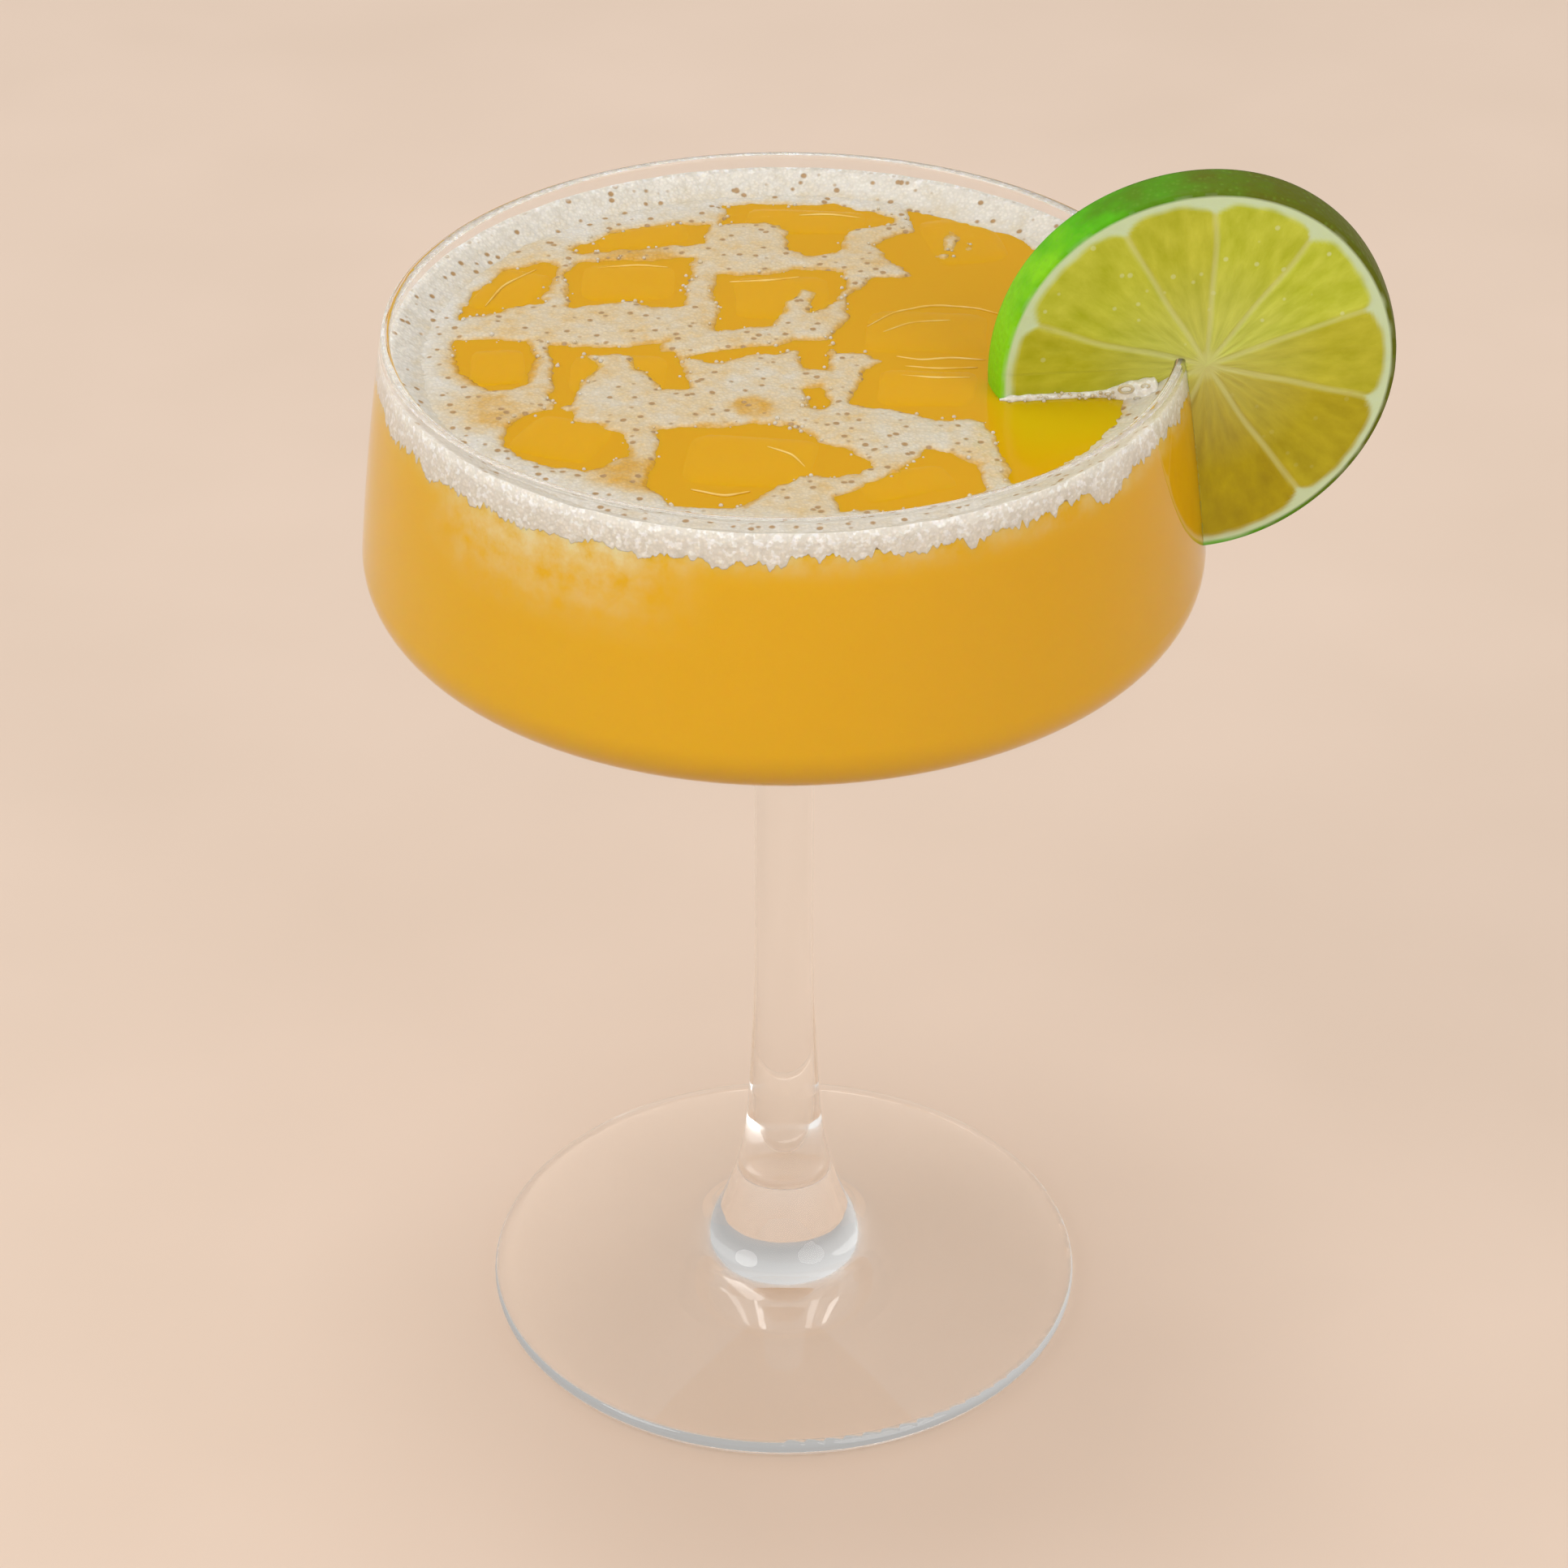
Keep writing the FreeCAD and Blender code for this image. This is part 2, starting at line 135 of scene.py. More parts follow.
def turns(count):
    """Angles evenly spread round a circle."""
    return [2 * math.pi * i / count for i in range(count)]


def taken_out(work):
    """Verts and faces of a bmesh, which is then freed."""
    verts = np.array([v.co[:] for v in work.verts])
    faces = [[v.index for v in face.verts] for face in work.faces]
    work.free()
    return verts, faces


def add_part(verts, faces, part, part_faces):
    """Append a part to the verts and faces of a piece made of many parts."""
    start = len(verts)
    verts.extend(part)
    faces.extend([tuple(start + n for n in face) for face in part_faces])


def store(piece, name, values):
    """Keep a value for each vertex, for the piece's material to read."""
    piece.data.attributes.new(name, "FLOAT", "POINT").data.foreach_set("value", values)


def smooth_step(low, high, value):
    t = min(max((value - low) / (high - low), 0.0), 1.0)
    return t * t * (3 - 2 * t)


def grain(x, y, scale, seed=0.0):
    """Smooth noise between about -1 and 1 whose features are scale millimetres wide."""
    return noise.noise(Vector((x / scale, y / scale, seed)))


# ---- bowl shape

def leftmost_meeting(centre_a, radius_a, centre_b, radius_b):
    """The leftmost point where two circles cross."""
    span = (centre_b[0] - centre_a[0], centre_b[1] - centre_a[1])
    gap = math.hypot(*span)
    along = (gap ** 2 + radius_a ** 2 - radius_b ** 2) / (2 * gap)
    off = math.sqrt(radius_a ** 2 - along ** 2)
    foot = (centre_a[0] + along * span[0] / gap, centre_a[1] + along * span[1] / gap)
    return min((foot[0] - off * span[1] / gap, foot[1] + off * span[0] / gap),
               (foot[0] + off * span[1] / gap, foot[1] - off * span[0] / gap))


class BowlShape:
    """The bowl's outline moved in from the outside by inset."""

    def __init__(self, inset):
        self.cap = CAP_RADIUS - inset
        self.shoulder = SHOULDER_RADIUS - inset
        self.side = SIDE_RADIUS - inset
        self.shoulder_centre = (BELLY_RADIUS - SHOULDER_RADIUS, BELLY_HEIGHT)
        rise = math.sqrt((self.cap - self.shoulder) ** 2 - self.shoulder_centre[0] ** 2)
        self.cap_height = BELLY_HEIGHT + rise
        self.side_centre = leftmost_meeting((RIM_RADIUS - inset, GLASS_HEIGHT), self.side,
                                            self.shoulder_centre, self.side - self.shoulder)
        self.low_turn = math.atan2(-rise, self.shoulder_centre[0])
        self.high_turn = math.atan2(BELLY_HEIGHT - self.side_centre[1],
                                    self.shoulder_centre[0] - self.side_centre[0])

    def radius(self, height):
        """Radius at a height above the belly's turn."""
        return self.side_centre[0] + math.sqrt(self.side ** 2 - (height - self.side_centre[1]) ** 2)

    def outline(self, top, steps):
        """Points from just off the axis at the bottom up to a height, as (radius, height)."""
        points = []
        for i in range(1, steps + 1):
            a = -math.pi / 2 + (self.low_turn + math.pi / 2) * i / steps
            points.append((self.cap * math.cos(a), self.cap_height + self.cap * math.sin(a)))
        for i in range(1, steps // 2 + 1):
            a = self.low_turn + (self.high_turn - self.low_turn) * i / (steps // 2)
            points.append((self.shoulder_centre[0] + self.shoulder * math.cos(a),
                           self.shoulder_centre[1] + self.shoulder * math.sin(a)))
        start = points[-1][1]
        for i in range(1, steps + 1):
            height = start + (top - start) * i / steps
            points.append((self.radius(height), height))
        return points


INSIDE = BowlShape(WALL)
SUNK_IN_WALL = BowlShape(WALL - REACH)


# ---- colours

def new_material(name):
    """A material with an empty tree and its Principled shader and output."""
    material = bpy.data.materials.new(name)
    material.use_nodes = True
    tree = material.node_tree
    tree.nodes.clear()
    output = tree.nodes.new("ShaderNodeOutputMaterial")
    shader = tree.nodes.new("ShaderNodeBsdfPrincipled")
    tree.links.new(shader.outputs[0], output.inputs["Surface"])
    return material, tree, shader, output


def set_inputs(node, values):
    for name, value in values.items():
        node.inputs[name].default_value = value


def ramp(tree, factor, stops):
    """A colour ramp: stops are (position, colour)."""
    node = tree.nodes.new("ShaderNodeValToRGB")
    elements = node.color_ramp.elements
    while len(elements) < len(stops):
        elements.new(0.5)
    for element, (position, colour) in zip(elements, stops):
        element.position = position
        element.color = (*colour, 1.0)
    tree.links.new(factor, node.inputs[0])
    return node.outputs[0]


def object_point(tree, scale):
    """The piece's own coordinates in units of scale millimetres."""
    where = tree.nodes.new("ShaderNodeTexCoord")
    mapping = tree.nodes.new("ShaderNodeMapping")
    mapping.inputs["Scale"].default_value = [1.0 / (scale * MM)] * 3
    tree.links.new(where.outputs["Object"], mapping.inputs["Vector"])
    return mapping.outputs[0]


def object_axes(tree):
    """The piece's own coordinates in metres, as three sockets."""
    where = tree.nodes.new("ShaderNodeTexCoord")
    split = tree.nodes.new("ShaderNodeSeparateXYZ")
    tree.links.new(where.outputs["Object"], split.inputs[0])
    return split.outputs


def noise_value(tree, point, detail=3.0, roughness=0.5):
    node = tree.nodes.new("ShaderNodeTexNoise")
    set_inputs(node, {"Scale": 1.0, "Detail": detail, "Roughness": roughness})
    tree.links.new(point, node.inputs["Vector"])
    return node.outputs[0]


def voronoi_value(tree, point):
    node = tree.nodes.new("ShaderNodeTexVoronoi")
    node.inputs["Scale"].default_value = 1.0
    tree.links.new(point, node.inputs["Vector"])
    return node.outputs["Distance"]


def mapped(tree, value, low, high, to_low=0.0, to_high=1.0):
    node = tree.nodes.new("ShaderNodeMapRange")
    set_inputs(node, {"From Min": low, "From Max": high, "To Min": to_low, "To Max": to_high})
    tree.links.new(value, node.inputs["Value"])
    return node.outputs[0]


def math_value(tree, operation, first, second):
    """A math node of two values, each a socket or a number."""
    node = tree.nodes.new("ShaderNodeMath")
    node.operation = operation
    for socket, value in zip(node.inputs, (first, second)):
        if isinstance(value, (int, float)):
            socket.default_value = value
        else:
            tree.links.new(value, socket)
    return node.outputs[0]


def added(tree, first, second):
    return math_value(tree, "ADD", first, second)


def times(tree, first, second):
    return math_value(tree, "MULTIPLY", first, second)


def mixed(tree, factor, first, second, blend="MIX"):
    """A mix of two colours, each a socket or a colour."""
    node = tree.nodes.new("ShaderNodeMix")
    node.data_type = "RGBA"
    node.blend_type = blend
    if isinstance(factor, (int, float)):
        node.inputs[0].default_value = factor
    else:
        tree.links.new(factor, node.inputs[0])
    for socket, value in zip((node.inputs[6], node.inputs[7]), (first, second)):
        if isinstance(value, tuple):
            socket.default_value = (*value, 1.0)
        else:
            tree.links.new(value, socket)
    return node.outputs[2]


def attribute(tree, name):
    node = tree.nodes.new("ShaderNodeAttribute")
    node.attribute_name = name
    return node.outputs["Fac"]


def paint(tree, shader, colour):
    tree.links.new(colour, shader.inputs["Base Color"])


def bump(tree, shader, height, strength, distance):
    """Bump the shader by a height value; distance is in millimetres."""
    node = tree.nodes.new("ShaderNodeBump")
    set_inputs(node, {"Strength": strength, "Distance": distance * MM})
    tree.links.new(height, node.inputs["Height"])
    tree.links.new(node.outputs[0], shader.inputs["Normal"])


# light reflected more often than this goes straight through glass and ice: thin edges stay clear
MOST_BOUNCES = 2
DRINK_IOR = 1.34


def clear_material(name, ior, tint, roughness):
    """Clear glass or ice that lets lamp light straight through, and frees light caught inside it."""
    material, tree, shader, output = new_material(name)
    set_inputs(shader, {"Base Color": (*tint, 1.0), "Roughness": roughness, "IOR": ior,
                        "Transmission Weight": 1.0})
    path = tree.nodes.new("ShaderNodeLightPath")
    through = tree.nodes.new("ShaderNodeBsdfTransparent")
    through.inputs[0].default_value = (*tint, 1.0)
    mix = tree.nodes.new("ShaderNodeMixShader")
    caught = math_value(tree, "GREATER_THAN", path.outputs["Glossy Depth"], MOST_BOUNCES + 0.5)
    tree.links.new(math_value(tree, "MAXIMUM", path.outputs["Is Shadow Ray"], caught), mix.inputs[0])
    tree.links.new(shader.outputs[0], mix.inputs[1])
    tree.links.new(through.outputs[0], mix.inputs[2])
    tree.links.new(mix.outputs[0], output.inputs["Surface"])
    return material, tree, shader


def glass_material():
    """Clear table glass with the faintest waviness."""
    material, tree, shader = clear_material("clear_glass", 1.46, (0.99, 0.985, 0.975), 0.0)
    bump(tree, shader, noise_value(tree, object_point(tree, 14.0), 1.0), 0.12, 0.25)
    return material


def ice_material():
    """Wet, slightly uneven ice. In a drink ice hardly shines, so it bends light only a little."""
    material, tree, shader = clear_material("wet_ice", 1.16, (0.87, 0.90, 0.84), 0.03)
    bump(tree, shader, noise_value(tree, object_point(tree, 5.0), 2.0), 0.3, 0.4)
    return material


# painted shade: the drink's upper face is painted darker and deeper orange than its sides
DRINK_TOP_SHADED = (0.63, 0.315, 0.002)
DRINK_LEFT = (0.78, 0.465, 0.003)
DRINK_RIGHT = (0.78, 0.435, 0.002)
LIME_TINT = (0.56, 0.40, 0.003)
HAZE = (0.80, 0.68, 0.36)


def drink_material():
    """Cloudy golden liquid, its upper face painted deeper and darker than its sides as painted shade,
    paler where ice and froth or the lime show through.
    """
    material, tree, shader, _ = new_material("margarita")
    across = mapped(tree, object_axes(tree)["X"], -BELLY_RADIUS * MM, BELLY_RADIUS * MM)
    clouds = noise_value(tree, object_point(tree, 22.0), 3.0)
    blend = added(tree, across, times(tree, clouds, 0.5))
    side = ramp(tree, mapped(tree, blend, 0.1, 1.4), [(0.0, DRINK_LEFT), (1.0, DRINK_RIGHT)])
    streaks = noise_value(tree, object_point(tree, 4.0), 4.0, 0.6)
    haze = times(tree, attribute(tree, "haze"), mapped(tree, streaks, 0.35, 0.7))
    side = mixed(tree, haze, side, HAZE)
    # painted shade: the upper face takes the darker top colour
    body = mixed(tree, attribute(tree, "top"), side, DRINK_TOP_SHADED)
    paint(tree, shader, mixed(tree, attribute(tree, "lime_near"), body, LIME_TINT))
    set_inputs(shader, {"Roughness": 0.06, "IOR": DRINK_IOR})
    tree.links.new(mapped(tree, attribute(tree, "top"), 0.0, 1.0, 0.02, 0.2),
                   shader.inputs["Specular IOR Level"])
    set_inputs(shader, {"Subsurface Weight": 0.3, "Subsurface Radius": (1.0, 0.45, 0.05),
                        "Subsurface Scale": 2.0 * MM})
    bump(tree, shader, noise_value(tree, object_point(tree, 9.0), 2.0), 0.15, 0.3)
    return material


FROTH_STOPS = [(0.0, DRINK_TOP_SHADED), (0.18, (0.64, 0.38, 0.09)), (0.4, (0.67, 0.51, 0.29)),
               (0.6, (0.66, 0.57, 0.43)), (0.8, (0.69, 0.64, 0.56)), (1.0, (0.80, 0.745, 0.66))]


def froth_material():
    """Fine froth, golden where thin and white where thick, with open bubbles on top and painted shade in
    their pits.
    """
    material, tree, shader, _ = new_material("froth")
    thick = attribute(tree, "froth")
    patchy = noise_value(tree, object_point(tree, 2.2), 5.0, 0.65)
    level = added(tree, thick, mapped(tree, patchy, 0.3, 0.7, -0.16, 0.16))
    colour = ramp(tree, times(tree, level, 0.8), FROTH_STOPS)
    specks = mapped(tree, noise_value(tree, object_point(tree, 0.8), 2.0), 0.52, 0.62)
    specks = times(tree, specks, mapped(tree, thick, 1.05, 1.2))
    colour = mixed(tree, specks, colour, (0.92, 0.90, 0.87))
    fine = voronoi_value(tree, object_point(tree, 0.5))
    coarse = voronoi_value(tree, object_point(tree, 1.9))
    full = mapped(tree, coarse, 0.15, 0.25, 0.0, 1.0)
    closed = math_value(tree, "MAXIMUM", full, attribute(tree, "closed"))
    # painted shade: the open bubbles' pits are painted dark brown
    colour = mixed(tree, closed, (0.42, 0.25, 0.10), colour)
    # painted shade and light: the gaps between the fine bubbles are darkened and their middles a little
    # lightened
    shade = tree.nodes.new("ShaderNodeCombineColor")
    for socket in shade.inputs[:3]:
        tree.links.new(mapped(tree, fine, 0.1, 0.6, 1.04, 0.90), socket)
    colour = mixed(tree, 1.0, colour, shade.outputs[0], "MULTIPLY")
    paint(tree, shader, colour)
    set_inputs(shader, {"Roughness": 0.4, "Subsurface Weight": 0.3,
                        "Subsurface Radius": (1.0, 0.8, 0.5), "Subsurface Scale": 0.6 * MM})
    height = added(tree, times(tree, closed, 1.2), times(tree, fine, -0.9))
    bump(tree, shader, height, 0.4, 0.2)
    return material


def edge_highlight_material():
    """Drink drawn up in a thin glossy line along an edge of ice, painted paler than the drink as a
    painted highlight.
    """
    material, tree, shader, _ = new_material("wet_edge_highlight")
    tone = noise_value(tree, object_point(tree, 4.0), 2.0)
    paint(tree, shader, ramp(tree, tone, [(0.35, (0.72, 0.40, 0.03)), (0.65, (0.80, 0.56, 0.16))]))
    set_inputs(shader, {"Roughness": 0.08, "IOR": DRINK_IOR})
    return material


def bubble_material():
    """Thin wet bubble walls, nearly white."""
    material, tree, shader, _ = new_material("bubble_skin")
    tone = noise_value(tree, object_point(tree, 3.0), 2.0)
    paint(tree, shader, ramp(tree, tone, [(0.35, (0.80, 0.67, 0.44)), (0.65, (0.84, 0.80, 0.70))]))
    set_inputs(shader, {"Roughness": 0.08, "IOR": 1.33, "Transmission Weight": 0.35})
    return material


# ---- froth and clear places

# Outlines of the places that are clear of froth, each round or beside an ice cube: (across, back).
CLEAR_PLACES = [
    [(-41, 10), (-39.5, 17), (-36, 22.5), (-31, 25.5), (-29.5, 24), (-31, 14), (-36, 12)],
    [(-27, 29.5), (-22, 34), (-14.5, 37), (-10, 37), (-11, 31.5), (-20, 30), (-26, 28.5)],
    [(-27.5, 13.5), (-28, 22), (-26, 25.5), (-12, 26.5), (-13, 14), (-17, 13.2), (-19.5, 15),
     (-22, 14)],
    [(-8, 7), (-8.5, 22), (-2, 21.5), (1.5, 23.2), (7.5, 23), (7, 15), (4, 12), (3.5, 17), (1.5, 18.5),
     (0, 14), (-1, 10), (-2, 7.5)],
    [(-8, 37), (-8, 42), (-3, 43), (6, 42.5), (14, 38.5), (13, 36.5), (8, 35.5), (7.5, 30), (3.5, 27.5),
     (1, 30), (1, 35), (-2, 37)],
    [(6.5, 0.5), (6, 5), (8, 10), (9, 17), (12, 20.5), (18, 22), (13.5, 26.5), (12, 30.5), (17, 35),
     (17, 40), (20, 43.5), (24, 41), (29, 35), (36, 24), (41, 10), (41, -18), (38, -25), (30, -34),
     (27, -33), (26, -24), (25, -17.5), (20, -17), (13, -14.5), (8.5, -13), (9, -9), (10, -5),
     (13, -1.5), (10, 0.5)],
    [(-41, 3.5), (-33, 3), (-31.5, 0), (-32, -8), (-36, -9.5), (-40, -5)],
    [(-29, 1), (-15, 2.5), (-16, 0.5), (-25, 0), (-23.5, -3), (-25.5, -8), (-26, -13), (-28, -13),
     (-28, -5)],
    [(-19, 0), (-14, 0.3), (-11.8, -8.5), (-15, -9), (-16.5, -5), (-18, -4)],
    [(-12, -0.8), (-4, 1.8), (5.2, 3.5), (5.2, -4), (2.8, -4), (2.5, 1), (-4, 0.2), (-8, -2)],
    [(2.8, -9), (4.7, -9), (4.7, -14), (3, -14)],
    [(-33, -19), (-28, -14), (-26, -15), (-26, -18), (-20, -21), (-19, -27), (-24, -29.5), (-30, -27.5),
     (-33, -24)],
    [(-15, -20), (-9, -19.5), (-4, -18.5), (1, -19.5), (5, -23), (10, -28), (9, -30.8), (2, -31),
     (-3, -35), (-6, -39), (-13, -38), (-16, -33), (-15, -28)],
    [(17, -25.5), (20, -26), (23, -29), (24, -34), (18, -38.5), (7, -39.5), (6, -36.5), (10, -34),
     (14, -31)],
]
# Islands of froth inside the clear places: middle across, middle back, half width, half depth.
ISLANDS = [(21.6, 31.0, 1.2, 3.4), (20.6, 27.0, 1.4, 0.9), (24.3, 29.5, 0.7, 1.6)]
# Places where the froth is only a golden film: middle across, middle back, radius, how much is missing.
FILMS = [(-36.5, -3, 8, 0.45), (-4, -14.3, 3.5, 0.4), (-19, 27.8, 8, 0.3), (-37, 28, 9, 0.35),
         (-37, -16, 7, 0.3), (-18, -31, 6, 0.35), (-21, -12, 6, -0.1), (16, -21, 9, -0.15),
         (-3, -7, 7, -0.1), (10, 29, 6, 0.05)]
# Ice edges that just break the surface: (across, back) along each.
ICE_EDGES = [
    [(10.5, 7.5), (14, 11.5), (19, 13.4), (24.5, 12.6), (28, 10.5)], [(12.5, 6), (16, 8.6), (21, 9.2)],
    [(14, -0.6), (17, -1.7), (21, -1.0), (25, -1.6)], [(15, -3.2), (19, -4.0), (24, -3.6)],
    [(14.5, -5.6), (18.5, -6.4), (23, -6.2)], [(-38, 13), (-36, 19), (-32, 23.5)],
    [(-24, 24), (-19, 24.8), (-15, 24.2)], [(2, 39.5), (6, 39.8), (10, 38.8)],
    [(-7, 20), (-2, 20.3), (2, 21.4)], [(-2, -24), (1, -26), (2.5, -29)],
    [(-11, -34.5), (-7, -36.2), (-4, -35)],
]
# Ice cubes: middle across, middle back, width, depth and turn in degrees.
ICE_CUBES = [
    (-20.0, 19.8, 15.0, 13.0, 1.0), (-35.0, 17.5, 9.0, 14.0, -20.0), (-18.5, 32.8, 15.0, 7.0, 16.0),
    (-0.5, 15.5, 15.5, 15.0, 1.0), (3.0, 37.5, 19.0, 9.0, -4.0), (18.0, 5.8, 19.0, 14.5, -5.0),
    (23.5, 32.0, 12.0, 17.0, 14.0), (-35.5, -3.5, 8.0, 11.0, 3.0), (-20.5, -5.5, 14.5, 13.5, -4.0),
    (-26.5, -22.0, 13.5, 12.5, -24.0), (-4.0, -27.5, 19.0, 15.0, -8.0), (17.5, -9.0, 15.0, 12.0, -3.0),
    (14.5, -33.0, 14.0, 8.0, 20.0),
]


def outline_distance(x, y, outline):
    """Distances of points from a closed outline, negative inside."""
    nearest = np.full(x.shape, 1e9)
    inside = np.zeros(x.shape, bool)
    for (ax, ay), (bx, by) in zip(outline, outline[1:] + outline[:1]):
        along_x, along_y = bx - ax, by - ay
        t = ((x - ax) * along_x + (y - ay) * along_y) / (along_x ** 2 + along_y ** 2)
        t = np.clip(t, 0, 1)
        nearest = np.minimum(nearest, np.hypot(x - ax - along_x * t, y - ay - along_y * t))
        if ay != by:
            crossing = (bx - ax) * (y - ay) / (by - ay) + ax
            inside ^= ((ay > y) != (by > y)) & (x < crossing)
    return np.where(inside, -nearest, nearest)


def grain_field(x, y, scale, seed):
    """grain() at every point of two arrays."""
    flat = [grain(a, b, scale, seed) for a, b in zip(x.ravel(), y.ravel())]
    return np.array(flat).reshape(x.shape)


def froth_depth(x, y):
    """How far inside the froth each point lies: negative in the clear places."""
    wander_x = x + 1.0 * grain_field(x, y, 5.0, 3.0) + 0.5 * grain_field(x, y, 1.7, 4.0)
    wander_y = y + 1.0 * grain_field(x, y, 5.0, 7.0) + 0.5 * grain_field(x, y, 1.7, 8.0)
    depth = np.full(x.shape, 1e9)
    for outline in CLEAR_PLACES:
        depth = np.minimum(depth, outline_distance(wander_x, wander_y, outline))
    for middle_x, middle_y, wide, deep in ISLANDS:
        island = 1 - np.hypot((wander_x - middle_x) / wide, (wander_y - middle_y) / deep)
        depth = np.maximum(depth, island * min(wide, deep))
    return depth + 0.3 * grain_field(x, y, 0.8, 5.0)


# ---- the drink

def make_drink():
    """The drink, turned from the bowl's inside, with a nearly still top."""
    count = 256
    angles = turns(count)
    rows = [[on_circle(radius, height, a) for a in angles]
            for radius, height in SUNK_IN_WALL.outline(DRINK_LEVEL, 36)]
    edge = SUNK_IN_WALL.radius(DRINK_LEVEL)
    rings = 60
    for i in range(1, rings):
        radius = edge * (1 - i / rings)
        row = []
        for a in angles:
            x, y, _ = on_circle(radius, 0.0, a)
            swell = 0.10 * grain(x, y, 12.0, 9.0)
            row.append((x, y, DRINK_LEVEL + swell * smooth_step(0.0, 6.0, edge - radius)))
        rows.append(row)
    bottom = (0.0, 0.0, SUNK_IN_WALL.cap_height - SUNK_IN_WALL.cap)
    verts, faces = lathe(rows, bottom, (0.0, 0.0, DRINK_LEVEL))
    piece = new_object("margarita", verts, faces)
    face_outwards(piece)
    for name, measure in (("lime_near", lime_nearness), ("top", topness), ("haze", haziness)):
        store(piece, name, [measure(*v) for v in verts])
    return piece


TOP_REACH = 46.5  # the froth ring covers the drink's upper face from this radius on


def topness(x, y, z):
    """1 on the drink's upper face inside the ring and 0 elsewhere."""
    return smooth_step(DRINK_LEVEL - 0.3, DRINK_LEVEL - 0.1, z) * (math.hypot(x, y) < TOP_REACH)


def haziness(x, y, z):
    """How much ice and froth behind the wall pale the drink at a point: most at the left front."""
    turn = math.degrees(math.atan2(y, x))
    left_front = smooth_step(-150.0, -132.0, turn) * smooth_step(-98.0, -118.0, turn)
    below = smooth_step(131.0, 145.0, z)
    return left_front * below + 0.6 * smooth_step(141.5, 145.0, z)


def lime_nearness(x, y, z):
    """From 0 to 1, how much the sunk part of the lime tints the drink at a point."""
    normal = (math.sin(LIME_YAW), -math.cos(LIME_YAW))
    ahead = (x - LIME_CENTRE[0]) * normal[0] + (y - LIME_CENTRE[1]) * normal[1]
    along = (x - LIME_CENTRE[0]) * math.cos(LIME_YAW) + (y - LIME_CENTRE[1]) * math.sin(LIME_YAW)
    across = math.hypot(along, (z - LIME_CENTRE[2]) * 0.9) - LIME_FRUIT
    beside = 1 - smooth_step(-3.0, 2.5, across)
    front = smooth_step(-4.0, 0.0, ahead) * (1 - smooth_step(8.0, 26.0, ahead))
    return 0.85 * beside * front * topness(x, y, z)


# ---- froth ring

def paint_froth(piece, thickness, closed):
    """Store how thick the froth looks at each vertex and how far its bubbles are closed."""
    store(piece, "froth", thickness)
    store(piece, "closed", closed)


RING_INNER = 43.4  # radius of the ring's inner edge
RING_GRAIN = 46.0  # the ring's unevenness is read round a circle of this radius
RING_STEPS = 1800
UNDER_LEVEL = 0.5  # how far the ring's inner edge goes under the drink's level


def ring_low(a):
    """Height of the ring's ragged lower edge at an angle round the glass."""
    x, y, _ = on_circle(RING_GRAIN, 0.0, a)
    clumps = 0.9 * grain(x, y, 1.5, 11.0) + 0.9 * grain(x, y, 0.6, 12.0)
    clumps += 0.35 * grain(x, y, 0.3, 21.0)
    tongues = 1.7 * max(0.0, grain(x, y, 4.5, 13.0)) + 1.5 * max(0.0, grain(x, y, 11.0, 18.0))
    left_front = max(0.0, math.cos(a - math.radians(-140.0)))
    return FROTH_UNDER + 0.5 - clumps - tongues - 1.3 * left_front ** 3


def make_froth_ring():
    """The ring of froth that clings to the glass, with a ragged lower edge."""
    section = 15  # points across the ring
    verts, whiteness, closed = [], [], []
    for a in turns(RING_STEPS):
        x, y, _ = on_circle(RING_GRAIN, 0.0, a)
        low = ring_low(a)
        high = FROTH_TOP - 0.1 + 0.12 * grain(x, y, 3.0, 14.0)
        inner = RING_INNER + 1.1 * grain(x, y, 9.0, 15.0) + 0.45 * grain(x, y, 1.8, 16.0)
        sunk = DRINK_LEVEL - UNDER_LEVEL
        under = min(low, sunk)
        outline = [(inner, sunk, 0.6), (SUNK_IN_WALL.radius(under) - 1.0, under, 0.8)]
        for part in (0.0, 0.03, 0.3, 0.65, 1.0):
            height = low + (high - low) * part
            proud = -0.16 if part == 1.0 else 0.04  # outside the drink's side, but for the top edge
            outline.append((SUNK_IN_WALL.radius(height) + proud, height,
                            1.12 + 0.1 * smooth_step(0.0, 0.5, part)))
        steps = section - len(outline)
        wall = INSIDE.radius(high)
        for k in range(1, steps + 1):
            t = k / steps
            radius = wall + (inner - wall) * t
            height = DRINK_LEVEL + SHORE + (high - DRINK_LEVEL - SHORE) * (1 - t) ** 1.5
            px, py = radius * math.cos(a), radius * math.sin(a)
            height += 0.12 * grain(px, py, 0.9, 17.0) * smooth_step(0.0, 0.2, 1 - t)
            outline.append((radius, height, 1.05 - 0.4 * t ** 2))
        for radius, height, white in outline:
            verts.append(on_circle(radius, height, a))
            whiteness.append(white + 0.1 * grain(radius * a, height * 2, 1.5, 19.0))
            closed.append(smooth_step(INSIDE.radius(height) - 0.6, INSIDE.radius(height), radius))
    faces = []
    for i in range(RING_STEPS):
        this, after = i * section, ((i + 1) % RING_STEPS) * section
        for k in range(section):
            up = (k + 1) % section
            faces.append((this + k, after + k, after + up, this + up))
    piece = new_object("froth_ring", verts, faces)
    face_outwards(piece)
    under = [number % section in (0, 1, section - 1) for number in range(len(faces))]
    piece.data.polygons.foreach_set("use_smooth", [not flat for flat in under])
    paint_froth(piece, whiteness, closed)
    return piece


# ---- froth net

NET_PITCH = 0.33
NET_RADIUS = 46.3
NET_RISE = 0.5  # height of the net's middle over its shores
SHORE = -0.14  # the shores lie just under the drink
NET_THICKNESS = 0.3


